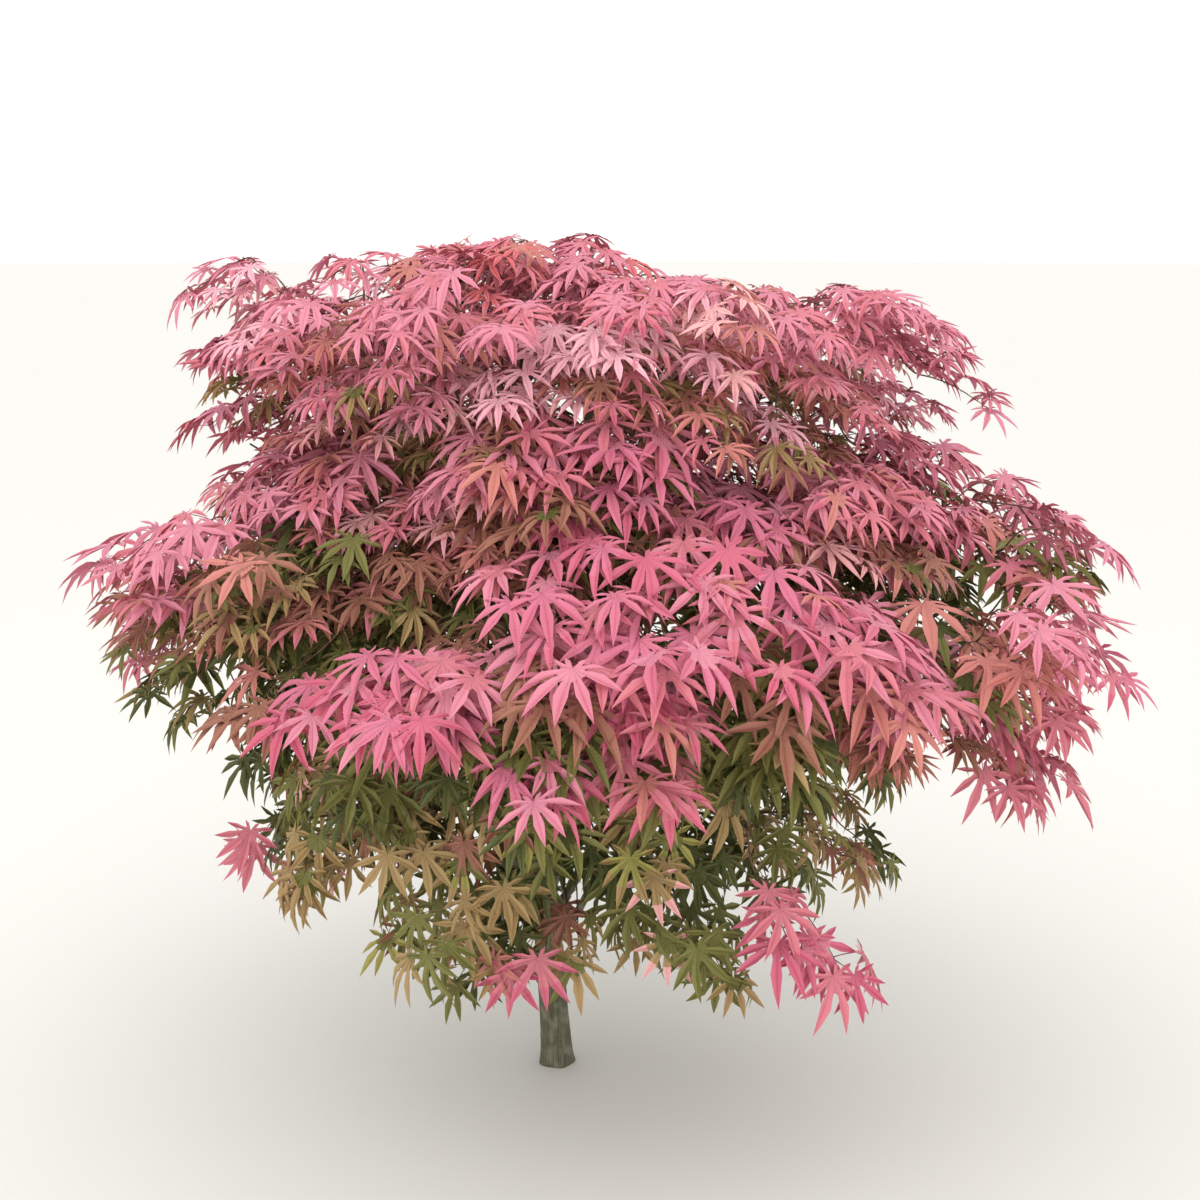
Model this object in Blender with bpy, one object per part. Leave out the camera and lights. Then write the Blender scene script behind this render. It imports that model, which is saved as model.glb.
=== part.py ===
"""A low, weeping Japanese maple, rooted in the ground: a short leaning trunk, arching boughs,
and layered masses of foliage that spread into a wide mound and hang to near the ground.

Metres, +Z up. The origin is the middle of the flat cut under the trunk, at ground level.
+X is to the right and -Y is the side that is seen from the front. An azimuth is measured
in degrees from +X, anticlockwise from above, so 270 is the front.
"""

import math
import random

import bmesh
import bpy
from mathutils import Matrix, Vector
from mathutils.bvhtree import BVHTree

# Clearance between pieces that meet
GAP = 0.0003

# Trunk
FORK_HEIGHT = 0.312
FOOT_RADIUS = 0.0172
FORK_RADIUS = 0.0150
FLARE = 0.0042
FLARE_HEIGHT = 0.020
ROOT_LOBES = 5
LOBE_SHARE = 0.30
LEAN = 0.022
TRUNK_SIDES = 14
TRUNK_RINGS = 10
TOP_ROUNDING = 0.005

# Boughs: points along a side bough and along a leader, and 1 for six sides
LIMB_POINTS = (6, 8)
LIMB_ROUNDNESS = 1

# Crown: how far the widest layer reaches from the trunk's foot on each side
REACH_RIGHT = 0.730
REACH_LEFT = 0.610
REACH_FRONT = 0.560
REACH_BACK = 0.540

# Layers of foliage from the top down. count is the number of masses round the trunk and turn
# the azimuth of the first. Each mass runs from entry (radius, height), where its bough ends,
# to rim (share of the crown's reach, height). arch lifts its middle, step raises every other
# mass and lowers the next, and hang tips its leaves down by so many degrees. Its bough starts
# on the trunk at a height in metres, or on the nearest leader at a share of its length.
LAYERS = {
    "upper": dict(count=6, turn=4, entry=(0.165, 0.815), rim=(0.71, 0.900), arch=0.045, hang=8,
                  step=0.018, leaves=10, trunk_height=(0.222, 0.268), radius=(0.0092, 0.0034)),
    "top": dict(count=3, turn=100, entry=(0.055, 0.885), rim=(0.45, 0.945), arch=0.050, hang=8,
                step=0.0, leaves=7, leader_share=0.72, radius=(0.0040, 0.0028)),
    "middle": dict(count=7, turn=14, entry=(0.215, 0.660), rim=(0.77, 0.735), arch=0.055, hang=30,
                   step=0.022, leaves=10, leader_share=0.46, radius=(0.0050, 0.0030)),
    "apron": dict(count=7, turn=318, entry=(0.230, 0.555), rim=(1.00, 0.610), arch=0.070, hang=33,
                  step=0.026, leaves=11, leader_share=0.24, radius=(0.0055, 0.0031)),
    "skirt": dict(count=6, turn=28, entry=(0.145, 0.350), rim=(0.72, 0.365), arch=0.040, hang=42,
                  step=0.024, leaves=8, trunk_height=(0.150, 0.178), radius=(0.0050, 0.0029)),
}

# How unevenly the masses stand round the trunk: shares of a turn and of the reach, and metres
AZIMUTH_SWING = 0.16
REACH_SWING = 0.05
HEIGHT_SWING = 0.012

# Boughs: how steeply they leave their parent, how long the two handles of the curve are as
# shares of its span, and how far along the leader one bough may start from the next
BOUGH_RISE = 38
LEAVE_SHARE = 0.42
ARRIVE_SHARE = 0.34
ARRIVE_RISE = 0.35
LEADER_SPREAD = 0.06
SWERVES = (0, 14, -14, 28, -28, 42, -42, 56, -56)

# Masses: depth, fall of the sides, how much the sides of a mass stay behind its middle, how far
# leaves hang over the rim as a share of their length, and the share of its sector that it fills
MASS_DEPTH = 0.080
SIDE_FALL = 0.030
SCALLOP = 0.08
OVERHANG = 0.8
SECTOR_SHARE = 0.54

# Twigs and leaves
STEM_RADIUS = 0.0034
STEM_TAPER = 0.0004
STEM_START = 0.020
TWIG_RADIUS = 0.0017
TWIG_TIP_RADIUS = 0.0010
LEAF_LENGTH = 0.110
LEAF_SIZES = (1.0, 0.88, 0.76)
LEAF_THICKNESS = 0.040
LEAF_CREST = 0.16
LEAF_FALL = 0.24
LEAF_TURN = 24
RIM_HANG = 20
STALK_SEAT = 0.06
SPARE_PLACES = 7
FIRST_LEAF = 0.12
EVEN_STEPS = (0.7549, 0.5698)
SEED = 41

# Least share of the shapes' own volume that a sound union keeps; they overlap only at joints
JOINED_SHARE = 0.90

# A leaf's outline: angle from its middle lobe in degrees and share of its length, tips and the
# notches between them, from the middle lobe round one side to the notch at the stalk
LEAF_OUTLINE = ((0, 1.00), (24, 0.40), (48, 0.88), (76, 0.36), (104, 0.64), (180, 0.10))

# Colours and finish
BARK = ("#4A4330", 0.85)
PINK = ("#DB7C94", 0.60)
ROSE = ("#C86C78", 0.60)
OLIVE = ("#6F6B38", 0.62)
LAYER_COLOURS = {"top": ROSE, "upper": PINK, "middle": PINK, "apron": PINK, "skirt": OLIVE}


def clear_scene():
    """Removes what the file holds, so the script can be run again."""
    for obj in list(bpy.data.objects):
        bpy.data.objects.remove(obj, do_unlink=True)


def linear(code):
    """A colour written as sRGB hex, as the linear values that a shader takes."""
    parts = [int(code[i : i + 2], 16) / 255 for i in (1, 3, 5)]
    turned = [c / 12.92 if c <= 0.04045 else ((c + 0.055) / 1.055) ** 2.4 for c in parts]
    return (*turned, 1.0)


def finish(name, colour):
    """A plain material of one colour and roughness."""
    code, roughness = colour
    material = bpy.data.materials.new(name)
    material.use_nodes = True
    shader = material.node_tree.nodes["Principled BSDF"]
    shader.inputs["Base Color"].default_value = linear(code)
    shader.inputs["Roughness"].default_value = roughness
    shader.inputs["Metallic"].default_value = 0.0
    return material


def add_object(name, mesh, collection, material=None):
    obj = bpy.data.objects.new(name, mesh)
    collection.objects.link(obj)
    if material:
        mesh.materials.clear()
        mesh.materials.append(material)
    return obj


def mesh_of(name, bm):
    """A mesh made from a bmesh, which is then freed."""
    mesh = bpy.data.meshes.new(name)
    bm.to_mesh(mesh)
    bm.free()
    return mesh


def outward(azimuth, rise=0.0):
    """The unit vector away from the trunk at an azimuth, tilted up by rise degrees."""
    turn, lift = math.radians(azimuth), math.radians(rise)
    level = math.cos(lift)
    return Vector((level * math.cos(turn), level * math.sin(turn), math.sin(lift)))


def trunk_axis(height):
    """The middle of the trunk at a height: upright at the ground, then leaning to the left."""
    share = height / FORK_HEIGHT
    return Vector((-LEAN * share**1.2, 0.2 * LEAN * math.sin(math.pi * share), height))


def trunk_radius(height, angle):
    """The taper, with root lobes that die away above the ground."""
    taper = FOOT_RADIUS + (FORK_RADIUS - FOOT_RADIUS) * height / FORK_HEIGHT
    flare = FLARE * math.exp(-height / FLARE_HEIGHT)
    return taper + flare * (1 + LOBE_SHARE * math.cos(ROOT_LOBES * angle))


def trunk_mesh(grow=0.0):
    """Rings of the lobed and tapering trunk, joined to their neighbours and closed at the ends."""
    bm = bmesh.new()
    shoulder = FORK_HEIGHT - TOP_ROUNDING
    levels = [((i / (TRUNK_RINGS - 1)) ** 1.7 * shoulder, 0.0) for i in range(TRUNK_RINGS)]
    levels.append((FORK_HEIGHT + grow, TOP_ROUNDING))
    rings = []
    for height, pull in levels:
        middle = trunk_axis(height)
        ring = []
        for j in range(TRUNK_SIDES):
            angle = 2 * math.pi * j / TRUNK_SIDES
            radius = trunk_radius(height, angle) + grow - pull
            ring.append(bm.verts.new(middle + radius * outward(math.degrees(angle))))
        rings.append(ring)
    for lower, upper in zip(rings, rings[1:]):
        for j in range(TRUNK_SIDES):
            k = (j + 1) % TRUNK_SIDES
            bm.faces.new((lower[j], lower[k], upper[k], upper[j]))
    bm.faces.new(rings[0][::-1])
    bm.faces.new(rings[-1])
    return mesh_of("trunk", bm)


def arc_points(start, leave, arrive, end, count):
    """Points along a cubic curve from start to end, steered by two handles."""
    points = []
    for i in range(count):
        t = i / (count - 1)
        s = 1 - t
        points.append(s**3 * start + 3 * s * s * t * leave + 3 * s * t * t * arrive + t**3 * end)
    return points


def evaluated_mesh(obj):
    """The mesh that an object's curve or modifiers make."""
    bpy.context.view_layer.update()
    graph = bpy.context.evaluated_depsgraph_get()
    return bpy.data.meshes.new_from_object(obj.evaluated_get(graph))


def tube(name, points, radii, collection):
    """A round tapering limb through the points, as a mesh whose caps are welded to its sides."""
    curve = bpy.data.curves.new(name, "CURVE")
    curve.dimensions = "3D"
    curve.bevel_depth = radii[0]
    curve.bevel_resolution = LIMB_ROUNDNESS
    curve.use_fill_caps = True
    spline = curve.splines.new("POLY")
    spline.points.add(len(points) - 1)
    for i, point in enumerate(points):
        share = i / (len(points) - 1)
        spline.points[i].co = (*point, 1.0)
        spline.points[i].radius = (radii[0] + (radii[1] - radii[0]) * share) / radii[0]
    guide = bpy.data.objects.new(name + "_curve", curve)
    collection.objects.link(guide)
    mesh = evaluated_mesh(guide)
    bpy.data.objects.remove(guide)
    bm = bmesh.new()
    bm.from_mesh(mesh)
    bmesh.ops.remove_doubles(bm, verts=bm.verts, dist=1e-6)
    bm.to_mesh(mesh)
    bm.free()
    return mesh


def apply_modifiers(obj):
    """Replaces the object's mesh by the one that its modifiers make."""
    made = evaluated_mesh(obj)
    obj.modifiers.clear()
    obj.data = made


def keep_largest(mesh):
    """Drops loose scraps, and fills sealed hollows by dropping their inner skins."""
    bm = bmesh.new()
    bm.from_mesh(mesh)
    left = set(bm.verts)
    groups = []
    while left:
        reached = {left.pop()}
        edge = list(reached)
        while edge:
            near = {other.other_vert(v) for v in edge for other in v.link_edges} - reached
            reached |= near
            edge = list(near)
        left -= reached
        groups.append(reached)
    groups.sort(key=len)
    loose = [vert for group in groups[:-1] for vert in group]
    bmesh.ops.delete(bm, geom=loose, context="VERTS")
    bm.to_mesh(mesh)
    bm.free()


def volume_of(mesh):
    bm = bmesh.new()
    bm.from_mesh(mesh)
    volume = bm.calc_volume()
    bm.free()
    return volume


def tree_of(obj):
    """A search tree over an object's faces, for tests of what touches what."""
    bm = bmesh.new()
    bm.from_mesh(obj.data)
    found = BVHTree.FromBMesh(bm)
    bm.free()
    return found


def crown_reach(azimuth):
    """How far the widest layer reaches at an azimuth: an ellipse with its own arm on each side."""
    turn = math.radians(azimuth)
    across = REACH_RIGHT if math.cos(turn) > 0 else REACH_LEFT
    deep = REACH_BACK if math.sin(turn) > 0 else REACH_FRONT
    return 1 / math.hypot(math.cos(turn) / across, math.sin(turn) / deep)


def plan_masses():
    """Every mass of every layer: its place round the trunk, its entry and its rim."""
    masses = []
    for layer, row in LAYERS.items():
        for i in range(row["count"]):
            swing = random.Random(f"{SEED}{layer}{i}")
            azimuth = row["turn"] + 360 * (i + AZIMUTH_SWING * swing.uniform(-1, 1)) / row["count"]
            step = row["step"] * (1 if i % 2 else -1)
            radius, height = row["entry"]
            share, rim_height = row["rim"]
            masses.append(dict(
                name=f"{layer}_{i + 1}",
                layer=layer,
                row=row,
                azimuth=azimuth % 360,
                sector=360 / row["count"] * SECTOR_SHARE,
                entry_radius=radius,
                entry_height=height + step,
                rim_share=share * (1 + REACH_SWING * swing.uniform(-1, 1)),
                rim_height=rim_height + step + HEIGHT_SWING * swing.uniform(-1, 1),
                arch=row["arch"],
            ))
    return masses


def layer_point(mass, along, across, depth):
    """A point of a mass: along from its entry (0) to its rim (1), across its sector from -1 to 1,
    and depth below its upper face from 0 to 1."""
    azimuth = mass["azimuth"] + across * mass["sector"] * (0.55 + 0.45 * along)
    rim = crown_reach(azimuth) * mass["rim_share"] * (1 - SCALLOP * across * across)
    rim -= OVERHANG * LEAF_LENGTH
    radius = mass["entry_radius"] + along * (rim - mass["entry_radius"])
    fall = (mass["rim_height"] - mass["entry_height"]) * along**2
    height = mass["entry_height"] + fall + mass["arch"] * math.sin(math.pi * (0.12 + 0.75 * along))
    height -= SIDE_FALL * across * across + MASS_DEPTH * depth
    return outward(azimuth) * radius + Vector((0, 0, height))


def entry_point(mass):
    return outward(mass["azimuth"]) * mass["entry_radius"] + Vector((0, 0, mass["entry_height"]))


def point_on(points, share):
    """The point at a share of the way along a row of points."""
    place = share * (len(points) - 1)
    i = min(int(place), len(points) - 2)
    return points[i].lerp(points[i + 1], place - i)


def angle_between(a, b):
    return abs((a - b + 180) % 360 - 180)


def bough_route(mass, leaders, swerve):
    """The parent's name and the points of a mass's bough, from its parent's middle to its entry."""
    row = mass["row"]
    end = entry_point(mass)
    heading = outward(mass["azimuth"])
    if "trunk_height" in row:
        low, high = row["trunk_height"]
        order = int(mass["name"].split("_")[1])
        start = trunk_axis(high if order % 2 else low)
        parent = "trunk"
    else:
        parent = min(leaders, key=lambda name: angle_between(leaders[name][0], mass["azimuth"]))
        spread = random.Random(mass["name"]).uniform(-LEADER_SPREAD, LEADER_SPREAD)
        start = point_on(leaders[parent][1], row["leader_share"] + spread)
    span = (end - start).length
    leave = start + outward(mass["azimuth"] + swerve, BOUGH_RISE) * span * LEAVE_SHARE
    arrive = end - (heading + Vector((0, 0, ARRIVE_RISE))).normalized() * span * ARRIVE_SHARE
    return parent, arc_points(start, leave, arrive, end, LIMB_POINTS[mass["layer"] == "upper"])


def add_cutter(mesh):
    """A cutter in a collection of its own, drawn as wire and left out of renders."""
    holder = bpy.data.collections.get("cutters")
    if holder is None:
        holder = bpy.data.collections.new("cutters")
        bpy.context.scene.collection.children.link(holder)
        holder.hide_render = True
    cutter = add_object("cutter", mesh, holder)
    cutter.display_type = "WIRE"
    cutter.hide_render = True
    return cutter


def grow_boughs(masses, trunk, collection, material):
    """One tapering bough for each mass, cut 0.3 mm clear of the limb that bears it. Each bends
    aside by as much as it takes to miss the limbs that are there before it."""
    limbs = {"trunk": (trunk, tree_of(trunk))}
    cutters = {"trunk": trunk_mesh(GAP)}
    leaders = {}
    for mass in masses:
        for swerve in SWERVES:
            parent, points = bough_route(mass, leaders, swerve)
            radii = mass["row"]["radius"]
            name = "bough_" + mass["name"]
            bough = add_object(name, tube(name, points, radii, collection), collection, material)
            cutter = add_cutter(cutters[parent])
            cut = bough.modifiers.new("clear of its parent", "BOOLEAN")
            cut.operation = "DIFFERENCE"
            cut.object = cutter
            apply_modifiers(bough)
            bpy.data.objects.remove(cutter)
            keep_largest(bough.data)
            found = tree_of(bough)
            if not any(found.overlap(tree) for _, tree in limbs.values()):
                break
            bpy.data.objects.remove(bough)
        else:
            raise RuntimeError(f"no clear way for the bough of {mass['name']}")
        limbs[name] = (bough, found)
        wider = (radii[0] + GAP, radii[1] + GAP)
        cutters[name] = tube("cutter", points, wider, collection)
        if mass["layer"] == "upper":
            leaders[name] = (mass["azimuth"], points)
        mass["tip"] = points[-1]
        mass["heading"] = (points[-1] - points[-2]).normalized()
    return limbs


def leaf_shape(place, tip, normal, length):
    """A five-lobed leaf as a thin closed star: a sphere's equator pulled out to the lobes' tips
    and in to the notches, falling away towards the tips, between two shallow poles."""
    outline = list(LEAF_OUTLINE) + [(-angle, share) for angle, share in LEAF_OUTLINE[-2:0:-1]]
    bm = bmesh.new()
    bmesh.ops.create_uvsphere(bm, u_segments=len(outline), v_segments=2, radius=1.0)
    side = normal.cross(tip).normalized()
    upright = tip.cross(side).normalized()
    equator = [v for v in bm.verts if abs(v.co.z) < 0.5]
    rim = sorted(equator, key=lambda v: math.atan2(v.co.y, v.co.x) % (2 * math.pi - 1e-4))
    poles = [v for v in bm.verts if abs(v.co.z) >= 0.5]
    for vert, (angle, share) in zip(rim, outline):
        turn = math.radians(angle)
        reach = share * length
        across = tip * math.cos(turn) + side * math.sin(turn)
        vert.co = place + across * reach - upright * LEAF_FALL * share * reach
    for pole in poles:
        half = math.copysign(LEAF_THICKNESS * length / 2, pole.co.z)
        pole.co = place + tip * LEAF_CREST * length + upright * half
    return bm


def twig_shape(start, end, radius, tip_radius):
    """A straight three-sided twig that tapers from start to end."""
    bm = bmesh.new()
    way = end - start
    turn = Matrix.Translation((start + end) / 2) @ way.to_track_quat("Z", "Y").to_matrix().to_4x4()
    bmesh.ops.create_cone(bm, cap_ends=True, segments=3, radius1=radius, radius2=tip_radius,
                          depth=way.length, matrix=turn)
    return bm


def in_own_space(points, mass, masses):
    """Whether every point lies nearer to this mass's own line than to that of any other mass."""
    for point in points:
        own = min((point - heart).length_squared for heart in mass["hearts"])
        for other in masses:
            if other is mass:
                continue
            if any((point - heart).length_squared < own for heart in other["hearts"]):
                return False
    return True


def is_clear(bm, trees):
    found = BVHTree.FromBMesh(bm)
    return not any(found.overlap(tree) for tree in trees)


def leaf_places(mass, rng):
    """Leaf places spread evenly through a mass, from its rim in to its stem, as many as it has
    leaves, and then more rounds of spare ones that fill what is left."""
    shift = [rng.random() for _ in EVEN_STEPS]
    count = mass["row"]["leaves"]
    places = []
    for k in range(count * SPARE_PLACES):
        across, depth = (math.modf(start + k * step)[0] for start, step in zip(shift, EVEN_STEPS))
        along = FIRST_LEAF + (1 - FIRST_LEAF) * math.sqrt(1 - (k % count + 0.5) / count)
        places.append((along, 2 * across - 1, depth * (1.1 - 0.5 * along)))
    return places


def leaf_heading(mass, along, across, way, rng):
    """Which way a leaf's middle lobe points and which way its upper face looks: outward and
    down, more steeply near the rim, and turned a little towards its twig's own way."""
    turn = rng.uniform(-LEAF_TURN, LEAF_TURN)
    azimuth = mass["azimuth"] + across * mass["sector"] * 0.9 + turn
    tip = outward(azimuth, -mass["row"]["hang"] - RIM_HANG * along + rng.uniform(-6, 6))
    tip = (tip + 0.3 * Vector((way.x, way.y, 0))).normalized()
    tilt = Vector((rng.uniform(-1, 1), rng.uniform(-1, 1), 0))
    return tip, (Vector((0, 0, 1)) + 0.16 * tilt).normalized()


def grow_mass(mass, masses, trees, collection, material):
    """Twigs and leaves fused into one solid. The stem follows the mass's own line. Each leaf then
    takes a twig from the nearest joint there is, and the twig adds a joint of its own. A leaf
    that would leave the mass's space or cross a limb or another leaf tries a place close by."""
    rng = random.Random(f"{SEED}{mass['name']}")
    start = mass["tip"] + mass["heading"] * GAP
    stem = [start, start + mass["heading"] * STEM_START]
    stem += [layer_point(mass, along, 0, 0.75) for along in (0.30, 0.62)]
    shapes = []
    joints = []
    own_twigs = []
    own_leaves = []
    for i, (a, b) in enumerate(zip(stem, stem[1:])):
        radius = STEM_RADIUS - STEM_TAPER * i
        way = (b - a).normalized()
        back = way * radius * (i > 0)
        shapes.append(twig_shape(a - back, b + way * radius, radius, radius - STEM_TAPER))
        own_twigs.append(BVHTree.FromBMesh(shapes[-1]))
        joints += [b, a.lerp(b, 0.5)] if i else [b]
    for along, across, depth in leaf_places(mass, rng):
        if len(own_leaves) == mass["row"]["leaves"]:
            break
        place = layer_point(mass, along, across, depth)
        joint = min(joints, key=lambda point: (point - place).length)
        for size in LEAF_SIZES:
            length = LEAF_LENGTH * size
            tip, normal = leaf_heading(mass, along, across, (place - joint).normalized(), rng)
            seat = place + tip * STALK_SEAT * length
            way = (seat - joint).normalized()
            leaf = leaf_shape(place, tip, normal, length)
            loose = leaf_shape(place - tip * 2 * GAP, tip, normal, length + 6 * GAP)
            twig = twig_shape(joint + way * GAP, seat, TWIG_RADIUS, TWIG_TIP_RADIUS)
            wide = twig_shape(joint, place, TWIG_RADIUS + 2 * GAP, TWIG_TIP_RADIUS + 2 * GAP)
            fits = (
                in_own_space((place, place + tip * 0.5 * length), mass, masses)
                and is_clear(loose, trees + own_leaves + own_twigs)
                and is_clear(wide, trees + own_leaves)
            )
            loose.free()
            wide.free()
            if fits:
                shapes += [twig, leaf]
                own_leaves.append(BVHTree.FromBMesh(leaf))
                own_twigs.append(BVHTree.FromBMesh(twig))
                joints += [joint.lerp(seat, 0.5), joint.lerp(seat, 0.85)]
                break
            leaf.free()
            twig.free()
    return fuse(mass["name"], shapes, collection, material), len(own_leaves)


def fuse(name, shapes, collection, material):
    """One Boolean union of all the shapes of a mass. The second solver takes over if the first
    gives back less than the shapes hold."""
    bits = bpy.data.collections.new("bits")
    bpy.context.scene.collection.children.link(bits)
    body = add_object("foliage_" + name, mesh_of(name, shapes[0]), collection, material)
    for i, shape in enumerate(shapes[1:]):
        add_object(f"bit_{i}", mesh_of("bit", shape), bits)
    first = body.data
    whole = sum(volume_of(bit.data) for bit in bits.objects) + volume_of(first)
    for solver in ("EXACT", "MANIFOLD"):
        body.data = first
        join = body.modifiers.new("join", "BOOLEAN")
        join.operation = "UNION"
        join.solver = solver
        join.operand_type = "COLLECTION"
        join.collection = bits
        apply_modifiers(body)
        keep_largest(body.data)
        if volume_of(body.data) > JOINED_SHARE * whole:
            break
    else:
        raise RuntimeError(f"the union of {name} lost some of its shapes")
    for bit in list(bits.objects):
        bpy.data.objects.remove(bit)
    bpy.data.collections.remove(bits)
    body.data.materials.clear()
    body.data.materials.append(material)
    return body


def build():
    clear_scene()
    collection = bpy.data.collections.new("japanese_maple")
    bpy.context.scene.collection.children.link(collection)
    bark = finish("bark", BARK)
    trunk = add_object("trunk", trunk_mesh(), collection, bark)
    masses = plan_masses()
    limbs = grow_boughs(masses, trunk, collection, bark)
    for mass in masses:
        mass["hearts"] = [layer_point(mass, along, across, 0.6)
                          for along in (0.0, 0.3, 0.65, 1.0) for across in (-0.6, 0, 0.6)]
        mass["hearts"].append(mass["tip"])
    colours = {layer: finish(layer + " foliage", colour) for layer, colour in LAYER_COLOURS.items()}
    trees = [tree for _, tree in limbs.values()]
    total = 0
    for mass in masses:
        body, leaves = grow_mass(mass, masses, trees, collection, colours[mass["layer"]])
        trees.append(tree_of(body))
        total += leaves
    for obj in collection.objects:
        if not obj.name.startswith("foliage"):
            obj.data.shade_smooth()
            obj.data.set_sharp_from_angle(angle=math.radians(45))
    print(len(masses), "masses,", total, "leaves")


build()
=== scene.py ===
# %% [markdown]
# # A weeping Japanese maple, grown leaf by leaf
# The real plant is a young garden tree about a metre tall: a leaning trunk as thick as a
# broom handle, arching boughs, and tiers of pink leaves that shade into olive below. Its solids
# already stand in the frame: a trunk, boughs, and masses of large leaves. Here each of them is
# replaced by what a camera would see: bark with relief, fine twigs, and thousands of small leaves
# with seven lobes. Everything grows by one seeded rule, so the script makes the same tree each run.

# %% Load the frame
import math
import random

import bpy
import numpy as np
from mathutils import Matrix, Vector


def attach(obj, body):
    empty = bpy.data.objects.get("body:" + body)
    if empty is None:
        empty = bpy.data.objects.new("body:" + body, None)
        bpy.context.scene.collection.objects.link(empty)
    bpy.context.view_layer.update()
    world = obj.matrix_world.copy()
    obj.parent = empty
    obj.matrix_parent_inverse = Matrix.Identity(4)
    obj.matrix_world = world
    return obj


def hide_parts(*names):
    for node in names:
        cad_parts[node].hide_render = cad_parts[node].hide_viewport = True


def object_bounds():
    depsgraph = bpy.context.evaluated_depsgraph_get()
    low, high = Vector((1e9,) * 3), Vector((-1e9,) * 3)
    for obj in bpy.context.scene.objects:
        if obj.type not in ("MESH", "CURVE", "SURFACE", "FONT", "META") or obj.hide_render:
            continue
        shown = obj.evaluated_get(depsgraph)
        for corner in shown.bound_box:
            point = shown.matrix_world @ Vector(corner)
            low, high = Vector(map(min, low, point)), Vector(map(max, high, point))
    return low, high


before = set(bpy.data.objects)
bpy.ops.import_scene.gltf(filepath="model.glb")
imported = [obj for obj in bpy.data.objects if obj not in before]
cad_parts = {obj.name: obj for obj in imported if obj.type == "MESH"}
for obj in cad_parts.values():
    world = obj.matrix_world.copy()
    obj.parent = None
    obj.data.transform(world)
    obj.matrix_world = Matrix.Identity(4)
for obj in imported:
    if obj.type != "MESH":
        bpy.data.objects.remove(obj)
cad_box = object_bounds()
print("solids:", len(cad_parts), "box:", [[round(v, 3) for v in corner] for corner in cad_box])

# %% [markdown]
# ## Camera
# The tree was seen from eye height for someone who crouches: about two metres away, a metre up,
# looking down by 12 degrees. A 54 mm lens on a 36 mm wide sensor gives the same perspective.

# %% Camera
scene = bpy.context.scene
lens = bpy.data.cameras.new("camera")
lens.sensor_width = 36.0
lens.lens = 54.0
camera = bpy.data.objects.new("camera", lens)
scene.collection.objects.link(camera)
camera.location = (0.052, -2.0, 0.99)
camera.rotation_euler = (math.radians(90 - 12), 0.0, 0.0)
scene.camera = camera
scene.view_settings.view_transform = "Standard"
print("camera at", tuple(camera.location))

# %% [markdown]
# ## Colours and shader nodes
# Colours are easiest to pick as sRGB hex values, but a shader adds up light, so it wants linear
# ones. One function converts them, and one more adds any shader node with its settings and links,
# which keeps each material below down to a few lines that say what the surface is.


# %% Colour and node helpers
def linear(code):
    """sRGB hex to linear: a straight line near black, and a power of 2.4 above it."""
    parts = [int(code[i : i + 2], 16) / 255 for i in (1, 3, 5)]
    turned = [c / 12.92 if c <= 0.04045 else ((c + 0.055) / 1.055) ** 2.4 for c in parts]
    return (*turned, 1.0)


def set_inputs(owner, node, inputs):
    """Sets the inputs of a node of a material or world. Each is a value, or an output to link
    from, or a node, which stands for its first output."""
    for name, value in inputs.items():
        value = value.outputs[0] if isinstance(value, bpy.types.Node) else value
        if isinstance(value, bpy.types.NodeSocket):
            owner.node_tree.links.new(value, node.inputs[name])
        else:
            node.inputs[name].default_value = value


def add_node(material, kind, inputs, **settings):
    """A node of one kind. Its settings come first, because they decide which inputs it has."""
    node = material.node_tree.nodes.new(kind)
    for name, value in settings.items():
        setattr(node, name, value)
    set_inputs(material, node, inputs)
    return node


def new_material(name, values):
    """A material and its Principled shader, with constant values set on the shader itself."""
    material = bpy.data.materials.new(name)
    material.use_nodes = True
    shader = material.node_tree.nodes["Principled BSDF"]
    set_inputs(material, shader, values)
    return material, shader


def set_ramp(ramp, stops):
    """Fills a colour ramp from pairs of place and hex colour."""
    elements = ramp.color_ramp.elements
    while len(elements) < len(stops):
        elements.new(0.5)
    for element, (place, code) in zip(elements, stops):
        element.position = place
        element.color = linear(code)


print("pink as a shader takes it:", [round(c, 3) for c in linear("#D78699")[:3]])

# %% [markdown]
# ## Studio
# A plain pale floor and soft light stand in for an overcast day: a pale world all round, and a
# broad lamp overhead, so leaves that look up are light and those beneath them fall into shade.
# A weaker lamp near the camera opens the shadows on the side that is seen.


# %% Floor and lights
def add_lamp(name, place, aim, size, power):
    """A square soft lamp at a place, turned so that it shines at another."""
    light = bpy.data.lights.new(name, "AREA")
    light.size = size
    light.energy = power
    lamp = bpy.data.objects.new(name, light)
    lamp.location = place
    lamp.rotation_euler = (Vector(place) - Vector(aim)).to_track_quat("Z", "Y").to_euler()
    scene.collection.objects.link(lamp)


FLOOR_RADIUS = 40.0
FLOOR_SIDES = 64
WORLD_STRENGTH = 1.44

turns = np.linspace(0, 2 * np.pi, FLOOR_SIDES + 1)[:-1]
floor_rim = np.stack([np.cos(turns), np.sin(turns), 0 * turns], 1) * FLOOR_RADIUS
floor_mesh = bpy.data.meshes.new("floor")
floor_mesh.from_pydata(floor_rim.tolist(), [], [list(range(FLOOR_SIDES))])
floor = bpy.data.objects.new("floor", floor_mesh)
scene.collection.objects.link(floor)
paper, _ = new_material("pale matt floor", {"Base Color": linear("#E4E2DD"), "Roughness": 0.9})
floor_mesh.materials.append(paper)

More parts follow.
